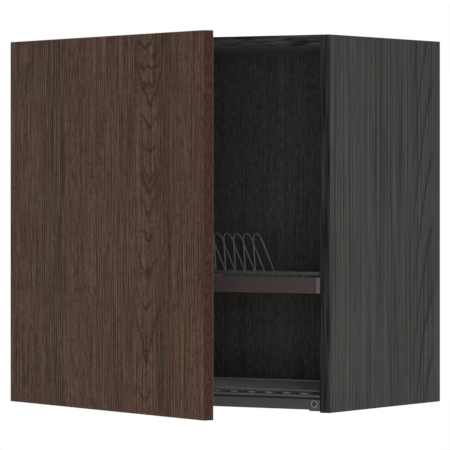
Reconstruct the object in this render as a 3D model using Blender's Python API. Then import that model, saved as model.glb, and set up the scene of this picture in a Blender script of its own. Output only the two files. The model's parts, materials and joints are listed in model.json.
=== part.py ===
"""Dish drying cabinet: a wall cabinet with an open bottom, two drying levels and one door.

Lengths are in metres, with +Z up. Pieces are drawn in the cabinet's own place: X runs to the right
from the middle, Y runs back from the front edges of the side panels, and Z runs up from their lower
edges. The empty cabinet_origin then sets the middle of the top panel's rear edge, which lies
against the wall, at the world's origin.
"""

import math

import bmesh
import bpy
from mathutils import Matrix, Vector

# Carcass
CARCASS_WIDTH = 0.600
CARCASS_HEIGHT = 0.600
CARCASS_DEPTH = 0.370
PANEL_THICKNESS = 0.018
EDGE_ROUND = 0.0005
BACK_THICKNESS = 0.0035
BACK_INSET = 0.0165
BACK_GROOVE_DEPTH = 0.006
DOWEL_RADIUS = 0.004
DOWEL_LENGTH = 0.030
DOWEL_IN_SIDE = 0.011
DOWEL_DEPTH_SHARES = {"front": 0.12, "rear": 0.84}

# Clearances
SEAT_GAP = 0.0003
CUT_OVERRUN = 0.002
WELD_OVERLAP = 0.0004

# Door
DOOR_THICKNESS = 0.018
DOOR_REVEAL = 0.0015
DOOR_GAP = 0.002
DOOR_EDGE_ROUND = 0.0006
DOOR_OPEN_DEGREES = 25.65
BUMPER_RADIUS = 0.004
BUMPER_INSET = 0.009

# Cup hinge: pivots seen from above with the door shut
HINGE_FROM_END = 0.100
REAR_PIVOT_FROM_SIDE = 0.0320
REAR_PIVOT_DEPTH = 0.0211
FRONT_PIVOT_FROM_SIDE = 0.0235
FRONT_PIVOT_DEPTH = 0.0028
INNER_CUP_PIVOT_FROM_EDGE = 0.0091
INNER_CUP_PIVOT_SINK = 0.0014
OUTER_CUP_PIVOT_FROM_EDGE = 0.0114
OUTER_CUP_PIVOT_SINK = 0.0053
INNER_LINK_TURN_SHARE = 0.40
OUTER_LINK_TURN_SHARE = 0.52
PIN_RADIUS = 0.0011
OPEN_PIVOT_CLEARANCE = 0.0013

# Cup hinge: layers across the hinge's height, counted from its middle
INNER_LINK_HALF = 0.0022
EAR_THICKNESS = 0.0012
OUTER_LINK_THICKNESS = 0.0012
ARM_SHEET = 0.0014
LINK_HALF_WIDTH = 0.0021
OUTER_LINK_HALF_WIDTH = 0.0020
EAR_RADIUS = 0.0027
# Each link bends aside between its pivots: how far along, and how far aside
INNER_LINK_BEND_SHARES = (0.09, 0.19, 0.34, 0.66)
INNER_LINK_BEND_OFFSETS = (0.0042, 0.0056, 0.0056, 0.0026)
OUTER_LINK_BEND_SHARES = (0.10, 0.26, 0.48, 0.66, 0.84)
OUTER_LINK_BEND_OFFSETS = (0.0048, 0.0072, 0.0076, 0.0056, 0.0009)

# Cup hinge: cup, arm and mounting plate
CUP_BORE_RADIUS = 0.0175
CUP_BORE_DEPTH = 0.0130
CUP_EDGE_DISTANCE = 0.0050
CUP_WALL = 0.0009
CUP_FLANGE_THICKNESS = 0.0010
CUP_FLANGE_REACH = 0.0012
LINK_NOTCH_DEPTH = 0.0025
CUP_SCREW_SPACING = 0.048
CUP_SCREW_OFFSET = 0.0060
CUP_TAB_HALF_WIDTH = 0.0062
ARM_REAR_DEPTH = 0.064
ARM_HEIGHT = 0.0112
ARM_BASE = 0.0032
ARM_BEND_DEPTH = 0.034
ARM_FOOT_FRONT = 0.0211
ARM_WEB_FRONT = 0.0378
PLATE_THICKNESS = 0.0022
PLATE_SCREW_DEPTH = 0.037
PLATE_SCREW_SPACING = 0.032
PLATE_WING_HALF = 0.0085
PLATE_WING_REACH = 0.0058
PLATE_BOSS_HEIGHT = 0.0090
PLATE_BOSS_FRONT = 0.030
PLATE_BOSS_REAR = 0.058
ARM_SCREW_DEPTH = 0.0480
ARM_SCREW_SHANK = 0.0035

# Screws
SCREW_SHANK_RADIUS = 0.0017
SCREW_SHANK_LENGTH = 0.0100
SCREW_HEAD_RADIUS = 0.0036
SCREW_HEAD_HEIGHT = 0.0018
SCREW_SOCKET_RADIUS = 0.0017
SCREW_SOCKET_DEPTH = 0.0010

# Hanging brackets in the space behind the back panel
HANGER_SHEET = 0.0020
HANGER_WIDTH = 0.034
HANGER_HEIGHT = 0.052
HANGER_DROP = 0.006
KEYHOLE_RADIUS = 0.0055
KEYHOLE_SLOT_HALF = 0.0026
KEYHOLE_RISE = 0.0120
KEYHOLE_FROM_SIDE = 0.0200

# Rails and their end brackets
RAIL_WALL = 0.0016
RAIL_DEPTH = 0.0140
UPPER_RAIL_HEIGHT = 0.0255
UPPER_RAIL_BASE = 0.1890
UPPER_RAIL_FACE = 0.0005
UPPER_GROOVE = 0.0045
LOWER_RAIL_HEIGHT = 0.0166
LOWER_RAIL_BASE = 0.0040
LOWER_RAIL_FACE = 0.0050
LOWER_GROOVE = 0.0020
REAR_LIP_DROP = 0.0012
UPPER_BRACKET_WIDTH = 0.0080
LOWER_BRACKET_WIDTH = 0.0220
BRACKET_TONGUE = 0.0120
BRACKET_FOOT_THICKNESS = 0.0032
BRACKET_FOOT_REACH = 0.0200
BRACKET_PEG_FROM_RAIL = 0.0116
BRACKET_ROUND = 0.0008
PEG_RADIUS = 0.0025
PEG_LENGTH = 0.0090
LOWER_BRACKET_PROUD = 0.0010
LOWER_BRACKET_DROP = 0.0022
CLAMP_SCREW_FROM_SIDE = 0.0125
CLAMP_SCREW_HEIGHT = 0.0135
CLAMP_RECESS_RADIUS = 0.0046
CLAMP_RECESS_DEPTH = 0.0026

# Plate rack
CROSSBAR_RADIUS = 0.0020
RACK_WIRE_RADIUS = 0.0016
RACK_PITCH = 0.0190
RACK_SIDE_MARGIN = 0.0200
FIRST_LOOP_FROM_SIDE = 0.1954
LOOP_HEIGHT = 0.0652
LOOP_FOOT_SPREAD = 0.0650
LOOP_LEAN_DEGREES = 15.1
LOOP_TOP_RADIUS = 0.0140
LOOP_MIDDLE_DEPTH = 0.1600
TIE_WIRE_STEPS = 3
FOOT_BAR_RADIUS = 0.0017
LOOP_TOP_STEPS = 8
STRIP_HEIGHT = 0.0058
STRIP_THICKNESS = 0.0030
STRIP_SIDE_GAP = 0.0045
STRIP_ROUND = 0.0006

# Glass rack and drip tray
GLASS_WIRE_RADIUS = 0.0020
GLASS_CROSSBAR_RADIUS = 0.0025
GLASS_TOP_BAR_RADIUS = 0.0015
GLASS_PITCH = 0.01635
GLASS_SIDE_MARGIN = 0.0100
GLASS_EDGE_GAP = 0.0010
GLASS_BAR_BEHIND_FACE = 0.0095
TRAY_SHEET = 0.0015
TRAY_RIM_HEIGHT = 0.0072
TRAY_RIM_WIDTH = 0.0050
TRAY_BEAD_HEIGHT = 0.0040
TRAY_BEAD_REACH = 0.0030
TRAY_BEAD_ROUND = 0.0010
TRAY_DROP = 0.0150
TRAY_SIDE_GAP = 0.0012
TRAY_CORNER = 0.0080
TRAY_FRONT_OVERLAP = 0.0040

ROUND_STEPS = 12
CUP_STEPS = 28
TUBE_ROUND_STEPS = 2

# Faces and heights that several pieces share
HALF_WIDTH = CARCASS_WIDTH / 2
INNER_HALF = HALF_WIDTH - PANEL_THICKNESS
BACK_REAR = CARCASS_DEPTH - BACK_INSET
BACK_FACE = BACK_REAR - BACK_THICKNESS
UNDER_TOP = CARCASS_HEIGHT - PANEL_THICKNESS
DOOR_REAR = -DOOR_GAP
DOOR_FRONT = DOOR_REAR - DOOR_THICKNESS
DOOR_HINGE_EDGE = -HALF_WIDTH + DOOR_REVEAL
CUP_CENTRE_X = DOOR_HINGE_EDGE + CUP_EDGE_DISTANCE + CUP_BORE_RADIUS
HINGE_HEIGHTS = {"lower": HINGE_FROM_END, "upper": CARCASS_HEIGHT - HINGE_FROM_END}
REAR_PIVOT = Vector((REAR_PIVOT_FROM_SIDE - INNER_HALF, REAR_PIVOT_DEPTH, 0))
FRONT_PIVOT = Vector((FRONT_PIVOT_FROM_SIDE - INNER_HALF, FRONT_PIVOT_DEPTH, 0))
INNER_CUP_PIVOT = Vector((DOOR_HINGE_EDGE + INNER_CUP_PIVOT_FROM_EDGE, DOOR_REAR - INNER_CUP_PIVOT_SINK, 0))
OUTER_CUP_PIVOT = Vector((DOOR_HINGE_EDGE + OUTER_CUP_PIVOT_FROM_EDGE, DOOR_REAR - OUTER_CUP_PIVOT_SINK, 0))
EAR_START = INNER_LINK_HALF + SEAT_GAP
OUTER_LINK_START = EAR_START + EAR_THICKNESS + SEAT_GAP
ARM_START = OUTER_LINK_START + OUTER_LINK_THICKNESS + SEAT_GAP
ARM_HALF = ARM_START + ARM_SHEET
UPPER_GROOVE_FLOOR = UPPER_RAIL_BASE + UPPER_RAIL_HEIGHT - UPPER_GROOVE
CROSSBAR_Z = UPPER_GROOVE_FLOOR + SEAT_GAP + CROSSBAR_RADIUS
RACK_WIRE_Z = CROSSBAR_Z + CROSSBAR_RADIUS + RACK_WIRE_RADIUS - WELD_OVERLAP
FOOT_BAR_Z = RACK_WIRE_Z - RACK_WIRE_RADIUS - SEAT_GAP - FOOT_BAR_RADIUS
FRONT_BAR_DEPTH = UPPER_RAIL_FACE + RAIL_DEPTH / 2
REAR_BAR_DEPTH = BACK_FACE - SEAT_GAP - RAIL_DEPTH / 2
TRAY_FLANGE_Z = LOWER_RAIL_BASE + LOWER_RAIL_HEIGHT + SEAT_GAP
GLASS_BAR_Z = TRAY_FLANGE_Z + TRAY_SHEET + SEAT_GAP + GLASS_CROSSBAR_RADIUS
GLASS_WIRE_Z = GLASS_BAR_Z + GLASS_CROSSBAR_RADIUS + GLASS_WIRE_RADIUS - WELD_OVERLAP

MATERIAL_LOOKS = {
    "side_veneer": ((0.053, 0.052, 0.049), 0.55, 0.0),
    "door_veneer": ((0.070, 0.039, 0.027), 0.50, 0.0),
    "back_board": ((0.050, 0.049, 0.046), 0.60, 0.0),
    "dowel_wood": ((0.480, 0.330, 0.180), 0.70, 0.0),
    "rail_metal": ((0.076, 0.062, 0.063), 0.45, 0.0),
    "bracket_plastic": ((0.092, 0.084, 0.085), 0.50, 0.0),
    "wire_coat": ((0.120, 0.118, 0.113), 0.40, 0.0),
    "tray_plastic": ((0.085, 0.079, 0.080), 0.45, 0.0),
    "hinge_steel": ((0.560, 0.560, 0.550), 0.28, 1.0),
    "screw_steel": ((0.500, 0.500, 0.490), 0.32, 1.0),
    "bumper_plastic": ((0.550, 0.550, 0.540), 0.30, 0.0),
}


def clear_scene():
    for old in list(bpy.data.objects):
        bpy.data.objects.remove(old, do_unlink=True)


def make_material(name):
    colour, roughness, metallic = MATERIAL_LOOKS[name]
    material = bpy.data.materials.new(name)
    material.use_nodes = True
    shader = material.node_tree.nodes["Principled BSDF"]
    shader.inputs["Base Color"].default_value = (*colour, 1.0)
    shader.inputs["Roughness"].default_value = roughness
    shader.inputs["Metallic"].default_value = metallic
    material.diffuse_color = (*colour, 1.0)
    return material


def place(obj, material, parent, offset):
    """Adds an object to the scene, with its own material, under the empty that carries it."""
    bpy.context.scene.collection.objects.link(obj)
    obj.parent = parent
    obj.location = offset
    if material:
        own = material.copy()
        own.name = obj.name + "_finish"
        obj.data.materials.append(own)
    return obj


def finish_mesh(name, bm, material, parent, offset=(0, 0, 0), smooth_degrees=0):
    bmesh.ops.recalc_face_normals(bm, faces=bm.faces)
    mesh = bpy.data.meshes.new(name)
    bm.to_mesh(mesh)
    bm.free()
    if smooth_degrees:
        mesh.shade_smooth()
        mesh.set_sharp_from_angle(angle=math.radians(smooth_degrees))
    return place(bpy.data.objects.new(name, mesh), material, parent, offset)


def add_box(bm, low, high):
    """A box between two corners."""
    low, high = Vector(low), Vector(high)
    size = high - low
    matrix = Matrix.Translation((low + high) / 2) @ Matrix.Diagonal((*size, 1))
    return bmesh.ops.create_cube(bm, size=1, matrix=matrix)["verts"]


def add_rod(bm, start, end, radius, steps=ROUND_STEPS):
    """A closed cylinder from one point to another."""
    start, end = Vector(start), Vector(end)
    turn = Vector((0, 0, 1)).rotation_difference(end - start).to_matrix().to_4x4()
    matrix = Matrix.Translation((start + end) / 2) @ turn
    bmesh.ops.create_cone(bm, cap_ends=True, segments=steps, radius1=radius, radius2=radius,
                          depth=(end - start).length, matrix=matrix)


def add_prism(bm, outline, direction, start, end):
    """An outline drawn in the plane across one axis, drawn out along that axis."""
    across = {"X": lambda a, b, c: (c, a, b), "Y": lambda a, b, c: (a, c, b), "Z": lambda a, b, c: (a, b, c)}
    ring = [bm.verts.new(across[direction](a, b, start)) for a, b in outline]
    face = bm.faces.new(ring)
    moved = bmesh.ops.extrude_face_region(bm, geom=[face])["geom"]
    shift = Vector(across[direction](0, 0, end - start))
    bmesh.ops.translate(bm, vec=shift, verts=[v for v in moved if isinstance(v, bmesh.types.BMVert)])


def add_lathe(bm, profile, centre, axis, steps):
    """Spins a profile of (radius, height) points once round an axis through the centre."""
    turn = Vector((0, 0, 1)).rotation_difference(Vector(axis)).to_matrix()
    points = [turn @ Vector((radius, 0, height)) + Vector(centre) for radius, height in profile]
    verts = [bm.verts.new(point) for point in points]
    edges = [bm.edges.new(pair) for pair in zip(verts, verts[1:])]
    bmesh.ops.spin(bm, geom=verts + edges, cent=centre, axis=axis, dvec=(0, 0, 0),
                   angle=math.tau, steps=steps, use_merge=True)
    bmesh.ops.remove_doubles(bm, verts=bm.verts, dist=SEAT_GAP / 100)


def hide_cutter(obj):
    obj.hide_render = True
    obj.display_type = "WIRE"
    return obj


def combine(target, other, operation):
    """Adds a Boolean that joins the other shape to the target, or cuts it away."""
    modifier = target.modifiers.new(operation.lower() + "_" + other.name, "BOOLEAN")
    modifier.operation = operation
    modifier.solver = "EXACT"
    modifier.object = hide_cutter(other)
    return target


def round_edges(obj, width):
    modifier = obj.modifiers.new("edge_round", "BEVEL")
    modifier.width = width
    modifier.segments = 1
    modifier.limit_method = "ANGLE"
    return obj


def arc_points(centre, radius, start_degrees, end_degrees, steps):
    points = []
    for index in range(steps + 1):
        angle = math.radians(start_degrees + (end_degrees - start_degrees) * index / steps)
        points.append((centre[0] + radius * math.cos(angle), centre[1] + radius * math.sin(angle)))
    return points


def bar_outline(route, half_width):
    """The outline of a flat bar of even width with round ends that follows a route."""
    points = [Vector((x, y)) for x, y in route]
    left, right = [], []
    for index, point in enumerate(points):
        before = points[max(index - 1, 0)]
        after = points[min(index + 1, len(points) - 1)]
        along = (after - before).normalized()
        normal = Vector((-along.y, along.x)) * half_width
        left.append(tuple(point + normal))
        right.append(tuple(point - normal))
    first = math.degrees(math.atan2(points[1].y - points[0].y, points[1].x - points[0].x))
    last = math.degrees(math.atan2(points[-1].y - points[-2].y, points[-1].x - points[-2].x))
    start_cap = arc_points(points[0], half_width, first + 90, first + 270, 6)
    end_cap = arc_points(points[-1], half_width, last - 90, last + 90, 6)
    return start_cap + right[1:-1] + end_cap + left[-2:0:-1]


def tube_mesh(routes, radius):
    """One closed tube along each route, from a curve with a bevel and filled ends."""
    curve = bpy.data.curves.new("wire_route", "CURVE")
    curve.dimensions = "3D"
    curve.bevel_depth = radius
    curve.bevel_resolution = TUBE_ROUND_STEPS
    curve.use_fill_caps = True
    for route in routes:
        spline = curve.splines.new("POLY")
        spline.points.add(len(route) - 1)
        for point, spot in zip(spline.points, route):
            point.co = (*spot, 1.0)
    holder = bpy.data.objects.new("wire_route", curve)
    mesh = bpy.data.meshes.new_from_object(holder)
    bm = bmesh.new()
    bm.from_mesh(mesh)
    bpy.data.objects.remove(holder)
    bpy.data.curves.remove(curve)
    bpy.data.meshes.remove(mesh)
    bmesh.ops.remove_doubles(bm, verts=bm.verts, dist=SEAT_GAP / 100)
    return bm


def make_wirework(name, layers, material, parent):
    """Welds layers of wires into one piece; each layer is a radius and wires that don't cross."""
    base = None
    for index, (radius, routes) in enumerate(layers):
        bm = tube_mesh(routes, radius)
        if base is None:
            base = finish_mesh(name, bm, material, parent, smooth_degrees=50)
        else:
            combine(base, finish_mesh(f"{name}_layer_{index}", bm, None, parent), "UNION")
    return base


def make_screw(name, seat, direction, material, parent, offset=(0, 0, 0), shank=SCREW_SHANK_LENGTH):
    """A pan-head screw whose head rests on seat; its shank runs along direction."""
    seat, direction = Vector(seat), Vector(direction)
    profile = [(0, SCREW_HEAD_HEIGHT - SCREW_SOCKET_DEPTH),
               (SCREW_SOCKET_RADIUS, SCREW_HEAD_HEIGHT - SCREW_SOCKET_DEPTH),
               (SCREW_SOCKET_RADIUS, SCREW_HEAD_HEIGHT),
               (SCREW_HEAD_RADIUS - SCREW_HEAD_HEIGHT / 2, SCREW_HEAD_HEIGHT),
               (SCREW_HEAD_RADIUS, SCREW_HEAD_HEIGHT / 2),
               (SCREW_HEAD_RADIUS, 0),
               (SCREW_SHANK_RADIUS, 0),
               (SCREW_SHANK_RADIUS, -shank),
               (0, -shank - SCREW_SHANK_RADIUS)]
    bm = bmesh.new()
    add_lathe(bm, profile, seat, -direction, ROUND_STEPS)
    return finish_mesh(name, bm, material, parent, offset, smooth_degrees=40)


def screw_bores(bm, seats, direction):
    """Cutter rods for the shanks of screws whose heads rest on seats."""
    for seat in seats:
        seat = Vector(seat)
        reach = SCREW_SHANK_LENGTH + SCREW_SHANK_RADIUS + SEAT_GAP
        add_rod(bm, seat - Vector(direction) * CUT_OVERRUN, seat + Vector(direction) * reach,
                SCREW_SHANK_RADIUS + SEAT_GAP)


def plate_screw_seats(height):
    """Where the screws of a hinge's mounting plate meet the side panel."""
    return [(-INNER_HALF, PLATE_SCREW_DEPTH, height + turn * PLATE_SCREW_SPACING / 2) for turn in (-1, 1)]


def hanger_screw_seat(side):
    """Where the screw of a hanging bracket meets the side panel, in the space behind the back."""
    middle = (BACK_REAR + CARCASS_DEPTH) / 2
    return (side * INNER_HALF, middle, UNDER_TOP - HANGER_DROP - HANGER_HEIGHT / 2)


def peg_places(level, end):
    """Y and Z of the middle of the peg that holds a rail bracket to the side panel."""
    base, height = rail_heights(level)
    return bracket_foot_middle(level, end), base + height / 2


def rail_heights(level):
    if level == "upper":
        return UPPER_RAIL_BASE, UPPER_RAIL_HEIGHT
    return LOWER_RAIL_BASE, LOWER_RAIL_HEIGHT


def rail_face(level, end):
    """The depth of the rail's outer face, which looks to the front or to the back panel."""
    if end == "rear":
        return BACK_FACE - SEAT_GAP
    return UPPER_RAIL_FACE if level == "upper" else LOWER_RAIL_FACE


def inward(end):
    """The direction in Y from a rail's outer face towards the cabinet's middle."""
    return -1 if end == "rear" else 1


def bracket_foot_middle(level, end):
    return rail_face(level, end) + inward(end) * (RAIL_DEPTH + BRACKET_PEG_FROM_RAIL)


def make_side_panel(name, side, parent, material):
    inner, outer = side * INNER_HALF, side * HALF_WIDTH
    bm = bmesh.new()
    add_box(bm, (min(inner, outer), 0, 0), (max(inner, outer), CARCASS_DEPTH, CARCASS_HEIGHT))
    panel = round_edges(finish_mesh(name, bm, material, parent), EDGE_ROUND)
    cuts = bmesh.new()
    groove = sorted((inner - side * CUT_OVERRUN, inner + side * (BACK_GROOVE_DEPTH + SEAT_GAP)))
    add_box(cuts, (groove[0], BACK_FACE - SEAT_GAP, -CUT_OVERRUN),
            (groove[1], BACK_REAR + SEAT_GAP, UNDER_TOP + BACK_GROOVE_DEPTH + SEAT_GAP))
    for seat, axis in dowel_seats(side):
        deep = seat + axis * (DOWEL_IN_SIDE + SEAT_GAP)
        add_rod(cuts, seat - axis * CUT_OVERRUN, deep, DOWEL_RADIUS + SEAT_GAP)
    for level in ("upper", "lower"):
        for end in ("front", "rear"):
            depth, z = peg_places(level, end)
            mouth = (inner - side * CUT_OVERRUN, depth, z)
            add_rod(cuts, mouth, (inner + side * (PEG_LENGTH + SEAT_GAP), depth, z), PEG_RADIUS + SEAT_GAP)
    seats = [hanger_screw_seat(side)]
    if side < 0:
        for height in HINGE_HEIGHTS.values():
            seats += plate_screw_seats(height)
    screw_bores(cuts, seats, (side, 0, 0))
    cutter = finish_mesh(name + "_cuts", cuts, None, parent)
    return combine(panel, cutter, "DIFFERENCE")


def dowel_seats(side):
    """Points where the dowels cross from the top panel's ends into a side panel, and their axis."""
    middle = CARCASS_HEIGHT - PANEL_THICKNESS / 2
    axis = Vector((side, 0, 0))
    shares = DOWEL_DEPTH_SHARES.values()
    return [(Vector((side * INNER_HALF, share * CARCASS_DEPTH, middle)), axis) for share in shares]


def make_top_panel(parent, material):
    bm = bmesh.new()
    half = INNER_HALF - SEAT_GAP
    add_box(bm, (-half, 0, UNDER_TOP), (half, CARCASS_DEPTH, CARCASS_HEIGHT))
    panel = round_edges(finish_mesh("top_panel", bm, material, parent), EDGE_ROUND)
    cuts = bmesh.new()
    add_box(cuts, (-HALF_WIDTH, BACK_FACE - SEAT_GAP, UNDER_TOP - CUT_OVERRUN),
            (HALF_WIDTH, BACK_REAR + SEAT_GAP, UNDER_TOP + BACK_GROOVE_DEPTH + SEAT_GAP))
    for side in (-1, 1):
        for seat, axis in dowel_seats(side):
            depth = DOWEL_LENGTH - DOWEL_IN_SIDE + SEAT_GAP
            add_rod(cuts, seat + axis * CUT_OVERRUN, seat - axis * depth, DOWEL_RADIUS + SEAT_GAP)
    return combine(panel, finish_mesh("top_panel_cuts", cuts, None, parent), "DIFFERENCE")


def make_back_panel(parent, material):
    bm = bmesh.new()
    half = INNER_HALF + BACK_GROOVE_DEPTH
    add_box(bm, (-half, BACK_FACE, 0), (half, BACK_REAR, UNDER_TOP + BACK_GROOVE_DEPTH))
    return finish_mesh("back_panel", bm, material, parent)


def make_dowels(parent, material):
    for tag, side in (("left", -1), ("right", 1)):
        for end, (seat, axis) in zip(DOWEL_DEPTH_SHARES, dowel_seats(side)):
            bm = bmesh.new()
            inside = seat - axis * (DOWEL_LENGTH - DOWEL_IN_SIDE)
            add_rod(bm, seat + axis * DOWEL_IN_SIDE, inside, DOWEL_RADIUS)
            finish_mesh(f"dowel_{tag}_{end}", bm, material, parent, smooth_degrees=40)


def keyhole_outline(centre):
    """A round hole with a narrower slot above it, drawn across the wall."""
    neck = math.degrees(math.asin(KEYHOLE_SLOT_HALF / KEYHOLE_RADIUS))
    crown = (centre[0], centre[1] + KEYHOLE_RISE)
    return (arc_points(centre, KEYHOLE_RADIUS, 90 + neck, 450 - neck, 12)
            + arc_points(crown, KEYHOLE_SLOT_HALF, 0, 180, 6))


def make_hanger(name, side, parent, material):
    """A bent steel bracket in the top rear corner, whose keyhole drops over a screw in the wall."""
    side_face = INNER_HALF - SEAT_GAP
    rear = CARCASS_DEPTH - SEAT_GAP
    front = BACK_REAR + SEAT_GAP * 2
    tip, bend = side_face - HANGER_WIDTH, (side_face - HANGER_SHEET, rear - HANGER_SHEET)
    outline = [(side_face, front), (side_face, rear), (tip, rear), (tip, bend[1]), bend, (bend[0], front)]
    top = UNDER_TOP - HANGER_DROP
    bm = bmesh.new()
    add_prism(bm, [(side * x, y) for x, y in outline], "Z", top - HANGER_HEIGHT, top)
    bracket = finish_mesh(name, bm, material, parent)
    cuts = bmesh.new()
    centre = (side * (side_face - KEYHOLE_FROM_SIDE), top - HANGER_HEIGHT / 2 - KEYHOLE_RISE / 2)
    add_prism(cuts, keyhole_outline(centre), "Y", rear - HANGER_SHEET - CUT_OVERRUN, rear + CUT_OVERRUN)
    seat = Vector(hanger_screw_seat(side))
    reach = Vector((side * (HANGER_SHEET + CUT_OVERRUN), 0, 0))
    add_rod(cuts, seat - reach, seat + reach, SCREW_SHANK_RADIUS + SEAT_GAP)
    return combine(bracket, finish_mesh(name + "_cuts", cuts, None, parent), "DIFFERENCE")


def rail_outline(level):
    """Section of a rail, drawn as (depth behind its face, height above its base)."""
    height = rail_heights(level)[1]
    groove = UPPER_GROOVE if level == "upper" else LOWER_GROOVE
    shelf = height - groove
    return [(0, 0), (RAIL_DEPTH, 0), (RAIL_DEPTH, RAIL_WALL), (RAIL_WALL, RAIL_WALL),
            (RAIL_WALL, shelf - RAIL_WALL), (RAIL_DEPTH, shelf - RAIL_WALL),
            (RAIL_DEPTH, height - REAR_LIP_DROP), (RAIL_DEPTH - RAIL_WALL, height - REAR_LIP_DROP),
            (RAIL_DEPTH - RAIL_WALL, shelf), (RAIL_WALL, shelf), (RAIL_WALL, height), (0, height)]


def bracket_width(level):
    return UPPER_BRACKET_WIDTH if level == "upper" else LOWER_BRACKET_WIDTH


def make_rail(level, end, parent, material):
    """A drawn metal rail with a groove along its top, between its two end brackets."""
    face, base = rail_face(level, end), rail_heights(level)[0]
    half = INNER_HALF - SEAT_GAP - bracket_width(level) - SEAT_GAP
    outline = [(face + inward(end) * depth, base + height) for depth, height in rail_outline(level)]
    bm = bmesh.new()
    add_prism(bm, outline, "X", -half, half)
    return finish_mesh(f"{level}_rail_{end}", bm, material, parent)


def make_bracket(level, end, side, parent, material):
    """A moulded end bracket: a block against the rail's end, a tongue inside it and a foot."""
    face, (base, height) = rail_face(level, end), rail_heights(level)
    step = inward(end)
    proud = LOWER_BRACKET_PROUD if level == "lower" and end == "front" else 0
    drop = LOWER_BRACKET_DROP if level == "lower" else 0
    outer = INNER_HALF - SEAT_GAP
    block = outer - bracket_width(level)
    foot_end = face + step * (RAIL_DEPTH + BRACKET_FOOT_REACH)
    outline = [(block, face - step * proud), (outer, face - step * proud), (outer, foot_end),
               (outer - BRACKET_FOOT_THICKNESS, foot_end),
               (outer - BRACKET_FOOT_THICKNESS, face + step * RAIL_DEPTH),
               (block, face + step * RAIL_DEPTH)]
    name = f"{level}_bracket_{end}_{'left' if side < 0 else 'right'}"
    bm = bmesh.new()
    add_prism(bm, [(side * x, y) for x, y in outline], "Z", base - drop, base + height)
    bracket = round_edges(finish_mesh(name, bm, material, parent), BRACKET_ROUND)
    groove = UPPER_GROOVE if level == "upper" else LOWER_GROOVE
    inside = RAIL_WALL + SEAT_GAP
    depths = sorted((face + step * inside, face + step * (RAIL_DEPTH - SEAT_GAP)))
    spans = sorted((side * (block - BRACKET_TONGUE), side * (block + WELD_OVERLAP)))
    tongue = bmesh.new()
    add_box(tongue, (spans[0], depths[0], base + inside),
            (spans[1], depths[1], base + height - groove - inside))
    combine(bracket, finish_mesh(name + "_tongue", tongue, None, parent), "UNION")
    peg = bmesh.new()
    depth, z = peg_places(level, end)
    root = (side * (outer - BRACKET_FOOT_THICKNESS / 2), depth, z)
    add_rod(peg, root, (side * (INNER_HALF + PEG_LENGTH), depth, z), PEG_RADIUS)
    combine(bracket, finish_mesh(name + "_peg", peg, None, parent), "UNION")
    if level == "upper" or end == "rear":
        return bracket
    cuts = bmesh.new()
    bore, bottom = SCREW_SHANK_RADIUS + SEAT_GAP, -SCREW_SHANK_LENGTH - SCREW_SHANK_RADIUS - SEAT_GAP
    mouth = CLAMP_RECESS_DEPTH + CUT_OVERRUN
    profile = [(0, bottom), (bore, bottom), (bore, 0), (CLAMP_RECESS_RADIUS, 0),
               (CLAMP_RECESS_RADIUS, mouth), (0, mouth)]
    add_lathe(cuts, profile, clamp_screw_seat(side), (0, -1, 0), CUP_STEPS)
    return combine(bracket, finish_mesh(name + "_cuts", cuts, None, parent), "DIFFERENCE")


def clamp_screw_seat(side):
    """The floor of the recess in a lower bracket's front, whose screw nips the rail's end."""
    depth = LOWER_RAIL_FACE - LOWER_BRACKET_PROUD + CLAMP_RECESS_DEPTH
    return (side * (INNER_HALF - CLAMP_SCREW_FROM_SIDE), depth, CLAMP_SCREW_HEIGHT)


def link_route(start, end, shares, offsets):
    """A bent route between two pivots, with each bend set off to the right of the straight way."""
    along = end - start
    right = Vector((along.y, -along.x, 0)).normalized()
    points = [start + along * share + right * offset for share, offset in zip(shares, offsets)]
    return [(p.x, p.y) for p in [start, *points, end]]


def make_inner_link(level, parent, material):
    """The long bent link with its two riveted pins."""
    height = HINGE_HEIGHTS[level]
    offset = (-REAR_PIVOT.x, -REAR_PIVOT.y, 0)
    name = f"inner_link_{level}"
    bm = bmesh.new()
    route = link_route(INNER_CUP_PIVOT, REAR_PIVOT, INNER_LINK_BEND_SHARES, INNER_LINK_BEND_OFFSETS)
    layers = (height - INNER_LINK_HALF, height + INNER_LINK_HALF)
    add_prism(bm, bar_outline(route, LINK_HALF_WIDTH), "Z", *layers)
    link = finish_mesh(name, bm, material, parent, offset)
    for pivot, half in ((REAR_PIVOT, ARM_HALF), (INNER_CUP_PIVOT, EAR_START + EAR_THICKNESS)):
        pin = bmesh.new()
        x, y = pivot.x, pivot.y
        add_rod(pin, (x, y, height - half), (x, y, height + half), PIN_RADIUS)
        tag = "rear" if pivot is REAR_PIVOT else "cup"
        combine(link, finish_mesh(f"{name}_{tag}_pin", pin, None, parent, offset), "UNION")
    return link


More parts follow.
